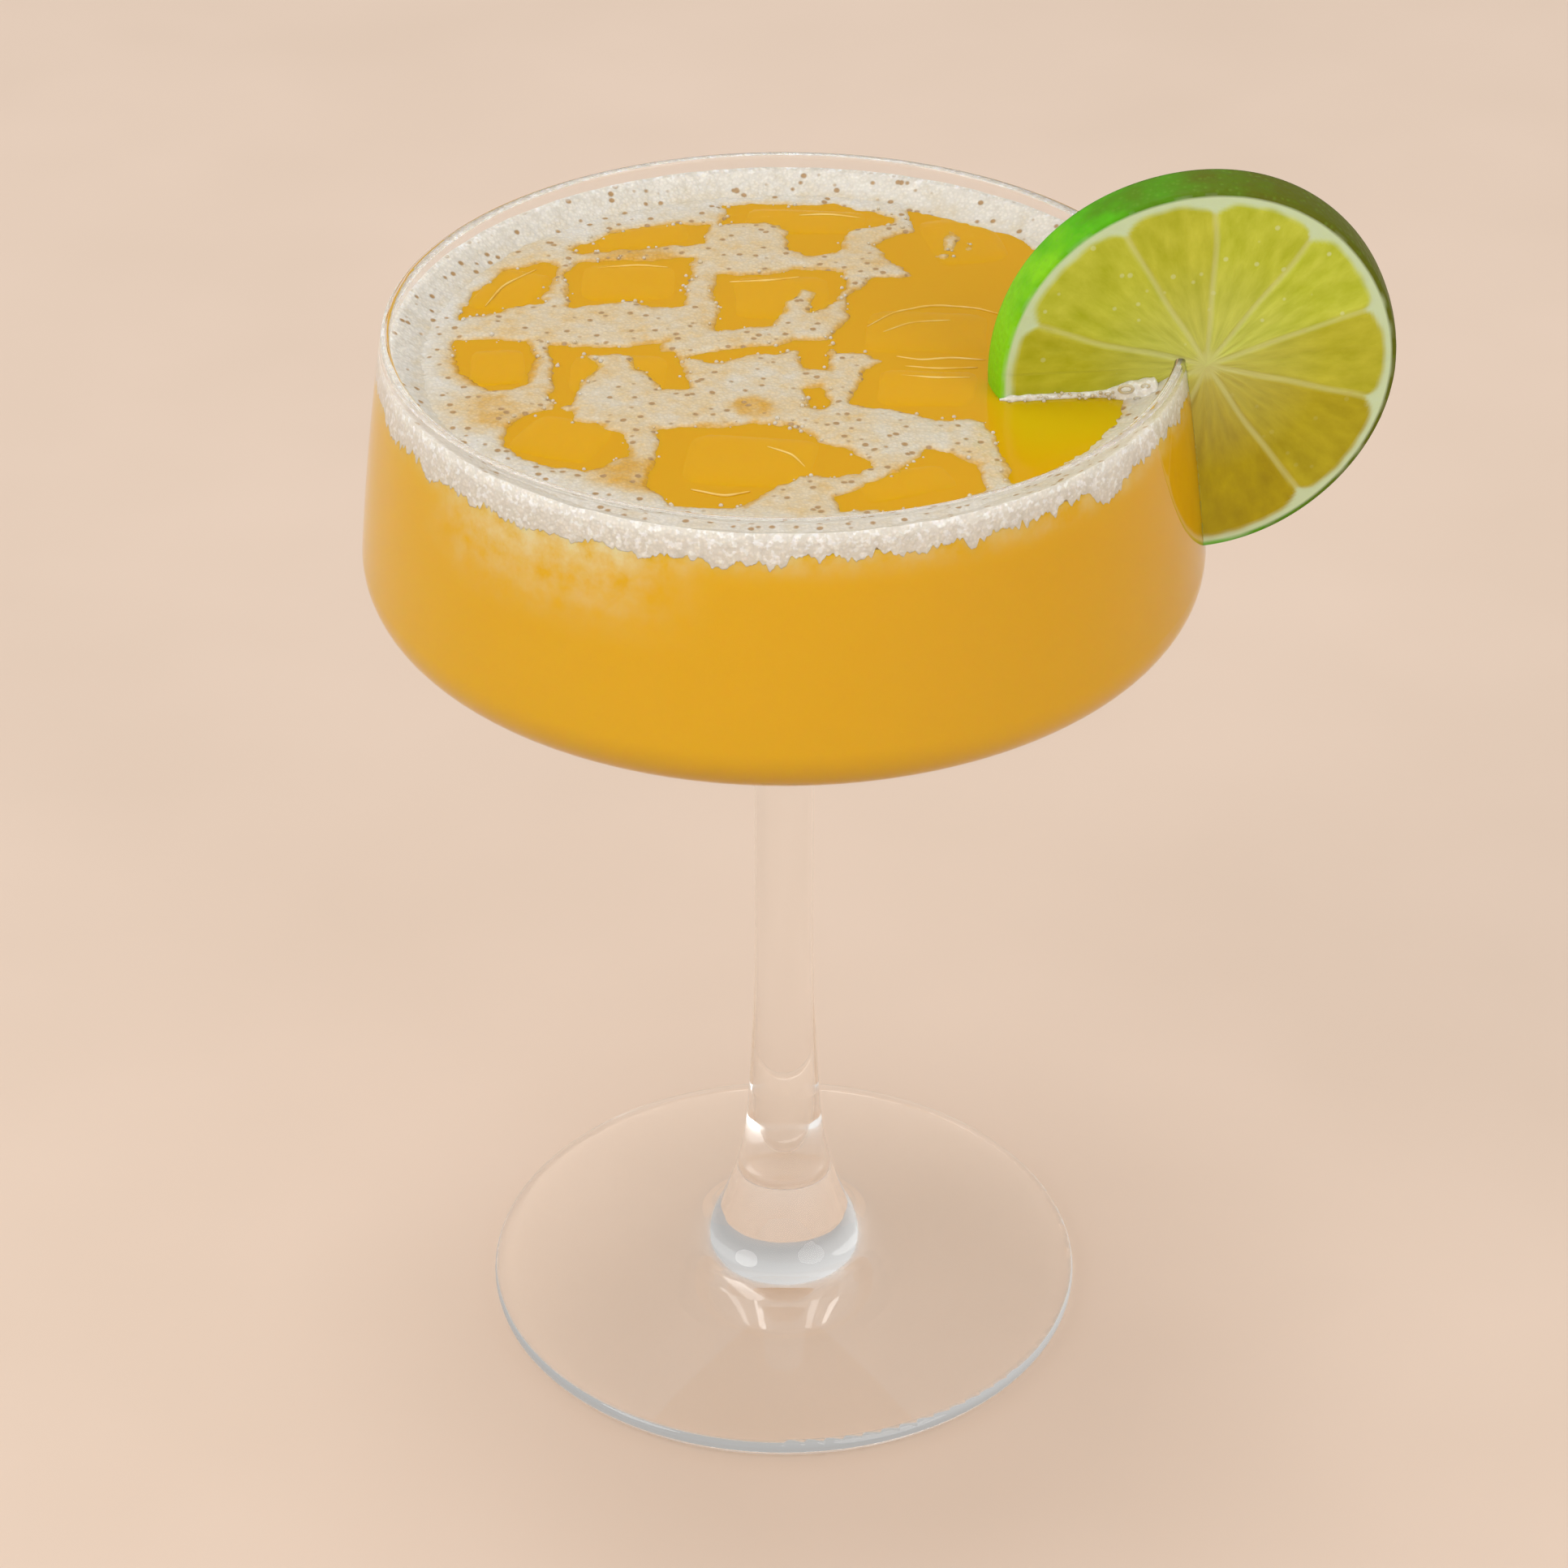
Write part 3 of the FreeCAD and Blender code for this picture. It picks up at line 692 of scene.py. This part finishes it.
def froth_thickness(x, y, inside):
    """From 0 to 1, how thick the froth looks: thin at its shores and in the films."""
    radius = math.hypot(x, y)
    thick = 0.5 * smooth_step(0.0, 1.3, inside) + 0.06
    thick += 0.36 * smooth_step(38.5, 44.0, radius + 1.5 * grain(x, y, 5.0, 24.0))
    for middle_x, middle_y, reach, missing in FILMS:
        away = math.hypot(x - middle_x, y - middle_y)
        thick -= missing * smooth_step(reach, 0.4 * reach, away)
    return thick + 0.13 * grain(x, y, 4.0, 22.0) + 0.08 * grain(x, y, 1.4, 23.0)


def make_froth_net():
    """The net of froth between the ice cubes: a thin raft whose shores slope into the drink."""
    half = int(NET_RADIUS / NET_PITCH) + 3
    line = np.arange(-half, half + 1) * NET_PITCH
    x, y = np.meshgrid(line, line, indexing="ij")
    radius = np.hypot(x, y)
    depth = np.minimum(froth_depth(x, y), NET_RADIUS - radius + 0.3)
    wet = depth > 0
    cells = wet[:-1, :-1] & wet[1:, :-1] & wet[:-1, 1:] & wet[1:, 1:]
    slope_x, slope_y = np.gradient(depth, NET_PITCH)
    number, verts, thickness = {}, [], []

    def corner(i, j):
        """The number of the top vertex at a grid corner: its underside is the next number."""
        if (i, j) in number:
            return number[i, j]
        px, py = x[i, j], y[i, j]
        inside = depth[i, j]
        if not (cells[i - 1, j - 1] and cells[i, j - 1] and cells[i - 1, j] and cells[i, j]):
            steep = max(slope_x[i, j] ** 2 + slope_y[i, j] ** 2, 0.25)
            pull = min(inside / steep, NET_PITCH)
            px -= pull * slope_x[i, j]
            py -= pull * slope_y[i, j]
            inside = 0.0
        rise = NET_RISE * (1 - math.exp(-inside / 0.8))
        rise += 0.12 * grain(px, py, 1.1, 21.0) * smooth_step(0.0, 1.0, inside)
        number[i, j] = len(verts)
        verts.append((px, py, DRINK_LEVEL + SHORE + rise))
        verts.append((px, py, DRINK_LEVEL + SHORE - NET_THICKNESS))
        thickness.extend([froth_thickness(px, py, inside)] * 2)
        return number[i, j]

    faces, tops = [], []
    for i, j in zip(*np.nonzero(cells)):
        a, b, c, d = corner(i, j), corner(i + 1, j), corner(i + 1, j + 1), corner(i, j + 1)
        tops.append((a, b, c, d))
        faces.append((d + 1, c + 1, b + 1, a + 1))
        for outside, first, second in ((not cells[i, j - 1], a, b), (not cells[i + 1, j], b, c),
                                       (not cells[i, j + 1], c, d), (not cells[i - 1, j], d, a)):
            if outside:
                faces.append((second, first, first + 1, second + 1))
    piece = new_object("froth_net", verts, tops + faces)
    piece.data.polygons.foreach_set("use_smooth", [True] * len(tops) + [False] * len(faces))
    paint_froth(piece, thickness, [0.0] * len(verts))
    return piece


# ---- bubbles

# open bubbles caught between the lime and the glass: along the wheel, ahead of it, height, radius
LIME_BUBBLES = [(-9.3, 1.9, 1.6, 1.05), (-6.9, 1.9, 1.9, 0.6), (-8.0, 2.5, 0.6, 0.5),
                (-11.4, 1.2, 0.7, 0.45)]
RING_BUBBLES = 420
NET_TRIES = 2600  # places tried for bubbles of the net: most lie too far from its shores
LIME_SPHERES = 34
LIME_FROTH = (-24.6, -4.6)  # where the froth along the lime starts and ends
THICK = 1.3  # the whitest froth


def sphere_parts(subdivisions):
    work = bmesh.new()
    bmesh.ops.create_icosphere(work, subdivisions=subdivisions, radius=1.0)
    return taken_out(work)


def hoop_parts():
    """Verts and faces of a hoop that stands facing the front: the rim of an open bubble."""
    around, through = 24, 8
    verts, faces = [], []
    for i, turn in enumerate(turns(around)):
        for k, tube in enumerate(turns(through)):
            reach = 0.8 + 0.22 * math.cos(tube)
            verts.append((reach * math.cos(turn), -0.5 * reach * math.sin(turn) + 0.22 * math.sin(tube),
                          0.85 * reach * math.sin(turn)))
            after = (i + 1) % around * through
            faces.append((i * through + k, i * through + (k + 1) % through,
                          after + (k + 1) % through, after + k))
    return np.array(verts), faces


def lime_front(along, ahead):
    """A point ahead of the wheel's front face, along it from the wheel's middle: (across, back)."""
    ahead += LIME_THICKNESS / 2
    return (LIME_CENTRE[0] + along * math.cos(LIME_YAW) + ahead * math.sin(LIME_YAW),
            LIME_CENTRE[1] + along * math.sin(LIME_YAW) - ahead * math.cos(LIME_YAW))


def make_lime_froth():
    """A lumpy line of froth where the wheel stands in the drink, thicker toward the glass."""
    count, steps = 20, 150
    start, end = LIME_FROTH
    rows = []
    for i in range(steps + 1):
        along = start + (end - start) * i / steps
        near_glass = smooth_step(-13.0, -6.5, along)
        size = 0.5 + 0.15 * grain(along, 0.0, 1.2, 41.0) + 1.5 * near_glass
        size *= 0.35 + 0.65 * smooth_step(start, start + 1.6, along) * smooth_step(end, end - 1.0, along)
        row = []
        for turn in turns(count):
            lump = size * (1 + 0.14 * noise.noise(Vector((along, math.cos(turn), math.sin(turn)))))
            x, y = lime_front(along, lump * math.cos(turn) + 0.2 * size)
            row.append((x, y, DRINK_LEVEL + 0.1 + lump * math.sin(turn)))
        rows.append(row)
    ends = [np.mean(rows[0], axis=0), np.mean(rows[-1], axis=0)]
    verts, faces = lathe(rows, ends[0], ends[1])
    piece = new_object("lime_froth", verts, faces)
    face_outwards(piece)
    paint_froth(piece, [THICK] * len(verts), [1.0] * len(verts))
    return piece


def make_bubbles():
    """Single bubbles in the ring, along the net's shores and where the lime meets the drink."""
    chance = random.Random(11)
    ball, ball_faces = sphere_parts(2)
    verts, faces = [], []

    def add(x, y, z, radius):
        add_part(verts, faces, (ball * radius + (x, y, z)).tolist(), ball_faces)

    for _ in range(RING_BUBBLES):
        a = chance.uniform(0, 2 * math.pi)
        height = ring_low(a) + 0.2 - chance.expovariate(1 / 0.6)
        radius = chance.uniform(0.12, 0.30)
        add(*on_circle(INSIDE.radius(height) - radius * 0.3, height, a), radius)
    tries = np.array([(chance.uniform(-43, 43), chance.uniform(-43, 43)) for _ in range(NET_TRIES)])
    depths = froth_depth(tries[:, 0], tries[:, 1])
    for (x, y), inside in zip(tries, depths):
        reach = math.hypot(x, y)
        if reach > 43 or not -0.3 < inside < 1.2 or chance.random() < 0.45:
            continue
        radius = chance.uniform(0.10, 0.30)
        add(x, y, DRINK_LEVEL + SHORE + NET_RISE * max(0.25, min(inside, 1.0)), radius)
    hoop, hoop_faces = hoop_parts()
    for along, ahead, height, radius in LIME_BUBBLES:
        centre = (*lime_front(along, ahead), DRINK_LEVEL + height)
        add_part(verts, faces, (hoop * radius + centre).tolist(), hoop_faces)
    for _ in range(LIME_SPHERES):
        along = chance.uniform(-24.4, -4.0)
        x, y = lime_front(along, chance.uniform(0.3, 1.2) + 1.3 * smooth_step(-12.0, -6.0, along))
        add(x, y, DRINK_LEVEL + chance.uniform(0.0, 0.9), chance.uniform(0.12, 0.28))
    return new_object("froth_bubbles", verts, faces)


# ---- ice

ICE_DEPTH = 14.0
ICE_PROUD = 0.16  # height of the middle of the ice's top over the drink
EDGE_THICK = 0.13  # what a bead along an ice edge gains toward its middle
MELT = 7.0  # the higher, the squarer the cubes


def melted_cube_parts(steps):
    """Verts and faces of a cube, 2 on a side, whose edges and corners are melted round."""
    work = bmesh.new()
    bmesh.ops.create_cube(work, size=2.0)
    bmesh.ops.subdivide_edges(work, edges=work.edges, cuts=steps, use_grid_fill=True)
    cube, faces = taken_out(work)
    return cube / np.sum(np.abs(cube) ** MELT, axis=1, keepdims=True) ** (1 / MELT), faces


def make_ice_edges():
    """Thin beads along the ice edges that just break the surface, pale with a painted highlight."""
    ring = 8
    verts, faces = [], []
    for number, route in enumerate(ICE_EDGES):
        knots = np.array(route, float)
        t = np.linspace(0, len(knots) - 1, 14 * (len(knots) - 1))
        line = np.stack([np.interp(t, range(len(knots)), knots[:, k]) for k in (0, 1)], axis=1)
        for _ in range(12):
            line[1:-1] = (line[:-2] + 2 * line[1:-1] + line[2:]) / 4
        rows = []
        for i, (x, y) in enumerate(line):
            ahead = line[min(i + 1, len(line) - 1)] - line[max(i - 1, 0)]
            across = np.array((-ahead[1], ahead[0])) / np.hypot(*ahead)
            share = i / (len(line) - 1)
            thick = EDGE_THICK * math.sin(math.pi * share) ** 0.6 + 0.05
            thick += 0.05 * grain(x, y, 1.5, 60.0 + number)
            rows.append([(x + thick * math.cos(a) * across[0], y + thick * math.cos(a) * across[1],
                          DRINK_LEVEL + 0.03 + thick * math.sin(a))
                         for a in turns(ring)])
        ends = [(*line[n], DRINK_LEVEL) for n in (0, -1)]
        add_part(verts, faces, *lathe(rows, *ends))
    piece = new_object("ice_edges", verts, faces)
    face_outwards(piece)
    return piece


def make_ice():
    """Half-melted ice cubes that float with their domed tops just out of the drink."""
    cube, cube_faces = melted_cube_parts(13)
    verts, faces = [], []
    for number, (x, y, wide, deep, turn) in enumerate(ICE_CUBES):
        tall = min(ICE_DEPTH, 1.2 * min(wide, deep))
        a = math.radians(turn)
        part = []
        for px, py, pz in cube:
            swell = 1.1 + 0.05 * noise.noise(Vector((px * 1.4, py * 1.4, pz * 1.4 + number * 5.0)))
            px, py = px * wide / 2 * swell, py * deep / 2 * swell
            dome = -0.06 * ((2 * px / wide) ** 2 + (2 * py / deep) ** 2)
            top = DRINK_LEVEL + ICE_PROUD + (dome if pz > 0 else 0.0)
            part.append((x + px * math.cos(a) - py * math.sin(a),
                         y + px * math.sin(a) + py * math.cos(a), top - (1 - pz) * tall / 2))
        add_part(verts, faces, part, cube_faces)
    return new_object("ice_cubes", verts, faces)


# ---- lime

# membranes between the segments, as angles in degrees round the core
MEMBRANES = [17.8, 54.0, 89.0, 121.0, 163.0, 205.0, 250.0, 304.0, 345.6]
CORE = (1.0, 1.2)  # where they meet, from the wheel's middle
RIND = 0.6  # thickness of the skin
PITH = 0.75  # and of the pith under it
RELIEF = 0.16  # how far the pulp stands over the membranes
# painted shade on each segment, from the one after the first membrane on: 0 pale green and unshaded, 1
# shaded olive
SEGMENT_SHADES = [0.0, 0.1, 0.3, 0.2, 0.45, 0.7, 1.0, 0.85, 0.5]


def lime_radius_at(depth):
    """The wheel's radius at a depth behind its front face."""
    off = LIME_OFFSET + LIME_THICKNESS - depth
    return math.sqrt(LIME_FRUIT ** 2 - off ** 2)


def segment_edge(angle):
    """How far, in degrees, an angle lies from the nearest membrane."""
    return min(abs((angle - m + 180.0) % 360.0 - 180.0) for m in MEMBRANES)


def segment_shade(angle):
    """The painted shade of the segment at an angle in degrees."""
    turn = (angle - MEMBRANES[0]) % 360.0
    starts = [(m - MEMBRANES[0]) % 360.0 for m in MEMBRANES]
    return SEGMENT_SHADES[max(i for i, start in enumerate(starts) if start <= turn)]


def lime_outline(a):
    """How far the wheel's edge lies from a true circle at an angle, as a share of the radius."""
    return 0.992 + 0.005 * math.sin(2 * a + 0.7) + 0.003 * math.sin(5 * a + 2.0)


def flesh_point(t, a, edge):
    """A point of a cut face, t of the way from the core to the edge, with its looks.

    The looks are membrane, pith, rind, turn round the core, reach from it and tone, which is the
    segment's painted shade."""
    rim_x, rim_y = edge * lime_outline(a) * math.cos(a), edge * lime_outline(a) * math.sin(a)
    x = CORE[0] + (rim_x - CORE[0]) * t
    y = CORE[1] + (rim_y - CORE[1]) * t
    from_rim = (1 - t) * math.hypot(rim_x - CORE[0], rim_y - CORE[1])
    angle = math.degrees(math.atan2(y - CORE[1], x - CORE[0]))
    reach = math.hypot(x - CORE[0], y - CORE[1])
    wander = angle + 2.5 * grain(x, y, 9.0, 31.0)
    gap = math.radians(segment_edge(wander)) * reach
    membrane = 1 - smooth_step(0.1, 0.55, gap)
    membrane = max(membrane, 1 - smooth_step(1.2, 2.4, reach + 0.5 * grain(x, y, 1.2, 35.0)))
    soft = 0.35 * grain(x, y, 2.5, 32.0)
    inner_edge = RIND + PITH + 1.6 * math.exp(-gap / 1.3)
    pith = 1 - smooth_step(inner_edge - 0.4, inner_edge + 0.5, from_rim + soft)
    rind = 1 - smooth_step(RIND * 0.55, RIND, from_rim + 0.3 * soft)
    pulp = (1 - membrane) * (1 - pith)
    relief = RELIEF * pulp + 0.08 * pulp * grain(reach * 0.25, math.radians(angle) * 7.0, 1.0, 33.0)
    relief -= 0.12 * smooth_step(0.5, 0.0, from_rim)
    return (x, y, relief), (membrane, pith, rind, math.radians(angle), reach, segment_shade(wander))


def make_lime():
    """The wheel: a polar grid about the core on each face, joined by the skin."""
    count, rings, skin_rows = 400, 64, 8
    half = LIME_THICKNESS / 2
    angles = turns(count)
    rows, looks = [], []

    def face_row(t, front):
        edge = lime_radius_at(0.0 if front else LIME_THICKNESS)
        made = [flesh_point(t, a, edge) for a in angles]
        side = 1 if front else -1
        rows.append([(x, y, (half - RELIEF + relief) * side) for (x, y, relief), _ in made])
        looks.extend(look for _, look in made)

    for k in range(1, rings + 1):
        face_row(k / rings, True)
    for k in range(1, skin_rows):
        depth = LIME_THICKNESS * k / skin_rows
        row = []
        for a in angles:
            pores = 0.05 * math.sin(math.pi * k / skin_rows)
            pores += 0.04 * grain(a * 25, depth, 0.8, 34.0)
            radius = (lime_radius_at(depth) + pores) * lime_outline(a)
            row.append((radius * math.cos(a), radius * math.sin(a), half - depth))
        rows.append(row)
        looks.extend([(0.0, 0.0, 1.0, 0.0, 0.0, 0.0)] * count)
    for k in range(rings, 0, -1):
        face_row(k / rings, False)
    verts, faces = lathe(rows, (*CORE, half - 0.1), (*CORE, -half + 0.1))
    piece = new_object("lime_slice", verts, faces)
    core = (1.0, 0.0, 0.0, 0.0, 0.0, 0.0)
    looks = [core] + looks + [core]
    for number, name in enumerate(("membrane", "pith", "rind", "turn", "reach", "tone")):
        store(piece, name, [look[number] for look in looks])
    for polygon in piece.data.polygons:
        polygon.material_index = int(all(looks[v][2] > 0.9 for v in polygon.vertices))
    face_outwards(piece)
    stand = Matrix.Rotation(math.pi / 2, 4, "X")
    turn = Matrix.Rotation(LIME_YAW, 4, "Z")
    piece.data.transform(Matrix.Translation(Vector(LIME_CENTRE) * MM) @ turn @ stand)
    return piece


def make_slit_tool():
    """The bowl's wall near the lime, a little thinner than the glass."""
    outer, inner = BowlShape(-SLIT_ROOM), BowlShape(WALL + SLIT_ROOM)
    middle = math.atan2(LIME_CENTRE[1], LIME_CENTRE[0])
    low, high = BELLY_HEIGHT + 1.0, GLASS_HEIGHT - 0.35
    levels = [low + (high - low) * k / 24 for k in range(25)]
    angles = [middle + math.radians(-14 + 28 * k / 24) for k in range(25)]
    verts, faces = [], []
    for side in (outer, inner):
        for level in levels:
            verts.extend(on_circle(side.radius(level), level, a) for a in angles)
    n, m = len(levels), len(angles)

    def at(side, level, angle):
        return (side * n + level) * m + angle

    for side in (0, 1):
        for i in range(n - 1):
            for j in range(m - 1):
                quad = (at(side, i, j), at(side, i, j + 1), at(side, i + 1, j + 1), at(side, i + 1, j))
                faces.append(quad if side == 0 else quad[::-1])
    for i in range(n - 1):
        faces.append((at(0, i, 0), at(0, i + 1, 0), at(1, i + 1, 0), at(1, i, 0)))
        faces.append((at(0, i, m - 1), at(1, i, m - 1), at(1, i + 1, m - 1), at(0, i + 1, m - 1)))
    for j in range(m - 1):
        faces.append((at(0, 0, j), at(1, 0, j), at(1, 0, j + 1), at(0, 0, j + 1)))
        faces.append((at(0, n - 1, j), at(0, n - 1, j + 1), at(1, n - 1, j + 1), at(1, n - 1, j)))
    tool = new_object("slit_tool", verts, faces)
    face_outwards(tool)
    return tool


def cut_away(piece, tool):
    """Cut the tool out of the piece and remove the tool."""
    cut = piece.modifiers.new("slit", "BOOLEAN")
    cut.operation = "DIFFERENCE"
    cut.solver = "EXACT"
    cut.object = tool
    shown = bpy.context.evaluated_depsgraph_get()
    shown.update()
    mesh = bpy.data.meshes.new_from_object(piece.evaluated_get(shown))
    piece.modifiers.clear()
    piece.data = mesh
    bpy.data.objects.remove(tool)


# greens of the skin, from painted shade to painted light
RIND_SHADE_STOPS = [(0.1, (0.105, 0.12, 0.001)), (0.42, (0.08, 0.25, 0.0)),
              (0.6, (0.09, 0.42, 0.001)), (0.9, (0.24, 0.62, 0.006))]


def rind_colour_with_painted_light(tree):
    """Mottled green skin, darker at the top and right as painted shade and brighter at the lower left as
    painted light.
    """
    axes = object_axes(tree)
    shade_slant = 0.45  # how far the shade's change turns from across to up
    shade_axis = added(tree, axes["X"], times(tree, axes["Z"], shade_slant))
    middle = LIME_CENTRE[0] + shade_slant * LIME_CENTRE[2]
    # painted shade and light: the skin is darker toward the top and right and brighter toward the lower
    # left
    side = mapped(tree, shade_axis, (middle + 22) * MM, (middle - 24) * MM)
    mottled = noise_value(tree, object_point(tree, 5.0), 3.0)
    tone = added(tree, side, mapped(tree, mottled, 0.3, 0.7, -0.12, 0.12))
    return ramp(tree, tone, RIND_SHADE_STOPS)


def flesh_material():
    """Wet cut lime: a green rim with painted light and shade, pith, membranes and juicy pulp in radial
    sacs, with painted shade on the lower segments and painted glints.
    """
    material, tree, shader, _ = new_material("lime_flesh")
    turn, reach = attribute(tree, "turn"), attribute(tree, "reach")
    polar = tree.nodes.new("ShaderNodeCombineXYZ")
    tree.links.new(times(tree, turn, 9.0), polar.inputs[0])
    tree.links.new(times(tree, reach, 0.24), polar.inputs[1])
    sacs = voronoi_value(tree, polar.outputs[0])
    veins = noise_value(tree, polar.outputs[0], 4.0, 0.6)
    shade = mapped(tree, added(tree, times(tree, sacs, 0.4), veins), 0.35, 1.05)
    pale = ramp(tree, shade, [(0.0, (0.40, 0.45, 0.010)), (1.0, (0.61, 0.64, 0.075))])
    olive = ramp(tree, shade, [(0.0, (0.33, 0.24, 0.0)), (1.0, (0.48, 0.37, 0.001))])
    # painted shade: segments with a higher tone are painted darker olive
    pulp = mixed(tree, attribute(tree, "tone"), pale, olive)
    pulp = mixed(tree, mapped(tree, reach, 2.0, 15.0, 0.35, 0.0), pulp, (0.60, 0.60, 0.22))
    # painted highlights: pale glints on the wet pulp, fainter on the shaded segments
    glints = mapped(tree, voronoi_value(tree, object_point(tree, 2.6)), 0.10, 0.15, 0.38, 0.0)
    unshaded_share = math_value(tree, "SUBTRACT", 1.0, attribute(tree, "tone"))
    pulp = mixed(tree, times(tree, glints, unshaded_share), pulp, (0.72, 0.76, 0.50))
    bleached = times(tree, attribute(tree, "membrane"), 0.5)
    skin = mixed(tree, bleached, pulp, (0.64, 0.64, 0.26))
    colour = mixed(tree, attribute(tree, "pith"), skin, (0.58, 0.68, 0.42))
    colour = mixed(tree, attribute(tree, "rind"), colour, rind_colour_with_painted_light(tree))
    paint(tree, shader, colour)
    set_inputs(shader, {"Roughness": 0.3, "Subsurface Weight": 0.25,
                        "Subsurface Radius": (1.0, 1.0, 0.3), "Subsurface Scale": 0.8 * MM,
                        "Specular IOR Level": 0.18, "Coat Weight": 0.06, "Coat Roughness": 0.12})
    bump(tree, shader, added(tree, sacs, veins), 0.3, 0.3)
    return material


def rind_material():
    """Green lime skin with fine oil pores, over painted light and shade."""
    material, tree, shader, _ = new_material("lime_rind")
    pores = voronoi_value(tree, object_point(tree, 0.9))
    colour = mixed(tree, mapped(tree, pores, 0.0, 0.35, 0.3, 0.0), rind_colour_with_painted_light(tree), (0.18, 0.36, 0.03))
    paint(tree, shader, colour)
    set_inputs(shader, {"Roughness": 0.48, "Specular IOR Level": 0.16})
    bump(tree, shader, pores, 0.35, 0.25)
    return material


# ---- studio

CAMERA_BACK = 3.30025  # camera distance and height in glass heights
CAMERA_UP = 2.68517
CAMERA_TILT = 32.97  # degrees down from level
CAMERA_LENS = 102.3
SENSOR = 36.0
FLOOR_HALF = 3000.0
FLOOR_DROP = 0.1  # keeps the floor's face off the foot's underside
BRIGHTEST = (-0.35, -0.6, 0.72)  # the way to the brightest part of the world
WORLD_LIGHT = (0.45, 0.95)  # strength at its darkest and brightest
# soft disk lamps: place and size in metres, watts and colour
LAMPS = {
    "key": ((-0.85, -0.5, 0.85), 0.6, 2.9, (1.0, 0.985, 0.96)),
    "fill": ((0.75, -0.8, 0.7), 0.8, 2.7, (1.0, 0.99, 0.97)),
    "top": ((-0.1, 0.25, 1.4), 0.6, 3.4, (0.95, 0.98, 1.0)),
}


def make_camera():
    data = bpy.data.cameras.new("camera")
    data.lens = CAMERA_LENS
    data.sensor_width = SENSOR
    camera = bpy.data.objects.new("camera", data)
    camera.location = (0.0, -CAMERA_BACK * GLASS_HEIGHT * MM, CAMERA_UP * GLASS_HEIGHT * MM)
    camera.rotation_euler = (math.radians(90.0 - CAMERA_TILT), 0.0, 0.0)
    bpy.context.scene.collection.objects.link(camera)
    bpy.context.scene.camera = camera


def make_light(name, place, size, power, colour):
    """A disk lamp that shines on the bowl."""
    data = bpy.data.lights.new(name, "AREA")
    data.shape = "DISK"
    data.size = size
    data.energy = power
    data.color = colour
    light = bpy.data.objects.new(name, data)
    light.location = place
    aim = Vector((0.0, 0.0, 0.75 * GLASS_HEIGHT * MM)) - Vector(place)
    light.rotation_euler = aim.to_track_quat("-Z", "Y").to_euler()
    bpy.context.scene.collection.objects.link(light)


def make_world():
    """Even studio light, brightest from the front left above and darker behind the glass."""
    world = bpy.data.worlds.new("studio")
    world.use_nodes = True
    tree = world.node_tree
    where = tree.nodes.new("ShaderNodeTexCoord")
    facing = tree.nodes.new("ShaderNodeVectorMath")
    facing.operation = "DOT_PRODUCT"
    facing.inputs[1].default_value = BRIGHTEST
    tree.links.new(where.outputs["Generated"], facing.inputs[0])
    background = tree.nodes["Background"]
    background.inputs[0].default_value = (1.0, 0.99, 0.975, 1.0)
    tree.links.new(mapped(tree, facing.outputs["Value"], -0.3, 0.9, *WORLD_LIGHT), background.inputs[1])
    bpy.context.scene.world = world


def make_studio():
    """Pale floor, the world's light, three soft lamps and how the light is traced."""
    corners = [(x * FLOOR_HALF, y * FLOOR_HALF, -FLOOR_DROP)
               for x, y in ((-1, -1), (1, -1), (1, 1), (-1, 1))]
    floor = new_object("floor", corners, [(0, 1, 2, 3)], smooth=False)
    material, tree, shader, _ = new_material("floor_paint")
    tone = noise_value(tree, object_point(tree, 60.0), 2.0)
    paint(tree, shader, ramp(tree, tone, [(0.3, (0.74, 0.575, 0.455)), (0.7, (0.77, 0.60, 0.48))]))
    shader.inputs["Roughness"].default_value = 0.6
    floor.data.materials.append(material)

    make_world()
    for name, lamp in LAMPS.items():
        make_light(name, *lamp)

    scene = bpy.context.scene
    scene.view_settings.view_transform = "Standard"
    scene.view_settings.look = "None"
    scene.cycles.use_denoising = True
    scene.cycles.max_bounces = 14
    scene.cycles.transmission_bounces = 12
    scene.cycles.glossy_bounces = 8
    scene.cycles.transparent_max_bounces = 16
    scene.cycles.sample_clamp_indirect = 6.0


# ---- assembly

def dress(piece, slot, *materials):
    """Give a piece its materials and let it ride on the part's one body. The slot is not used."""
    for material in materials:
        piece.data.materials.append(material)
    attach(piece, "root")


def build():
    make_camera()
    make_studio()
    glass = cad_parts["glass"]
    glass.data.materials.clear()
    glass.data.materials.append(glass_material())

    drink = make_drink()
    dress(drink, "drink", drink_material())
    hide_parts("drink")

    froth = froth_material()
    ring = make_froth_ring()
    dress(ring, "foam", froth)
    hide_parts("foam")
    dress(make_froth_net(), "foam", froth)
    dress(make_lime_froth(), "foam", froth)
    dress(make_bubbles(), "foam", bubble_material())
    dress(make_ice(), "clear_glass", ice_material())
    dress(make_ice_edges(), "drink", edge_highlight_material())

    lime = make_lime()
    dress(lime, "lime", flesh_material(), rind_material())
    cut_away(lime, make_slit_tool())
    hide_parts("lime_wheel")


build()
bpy.context.view_layer.update()
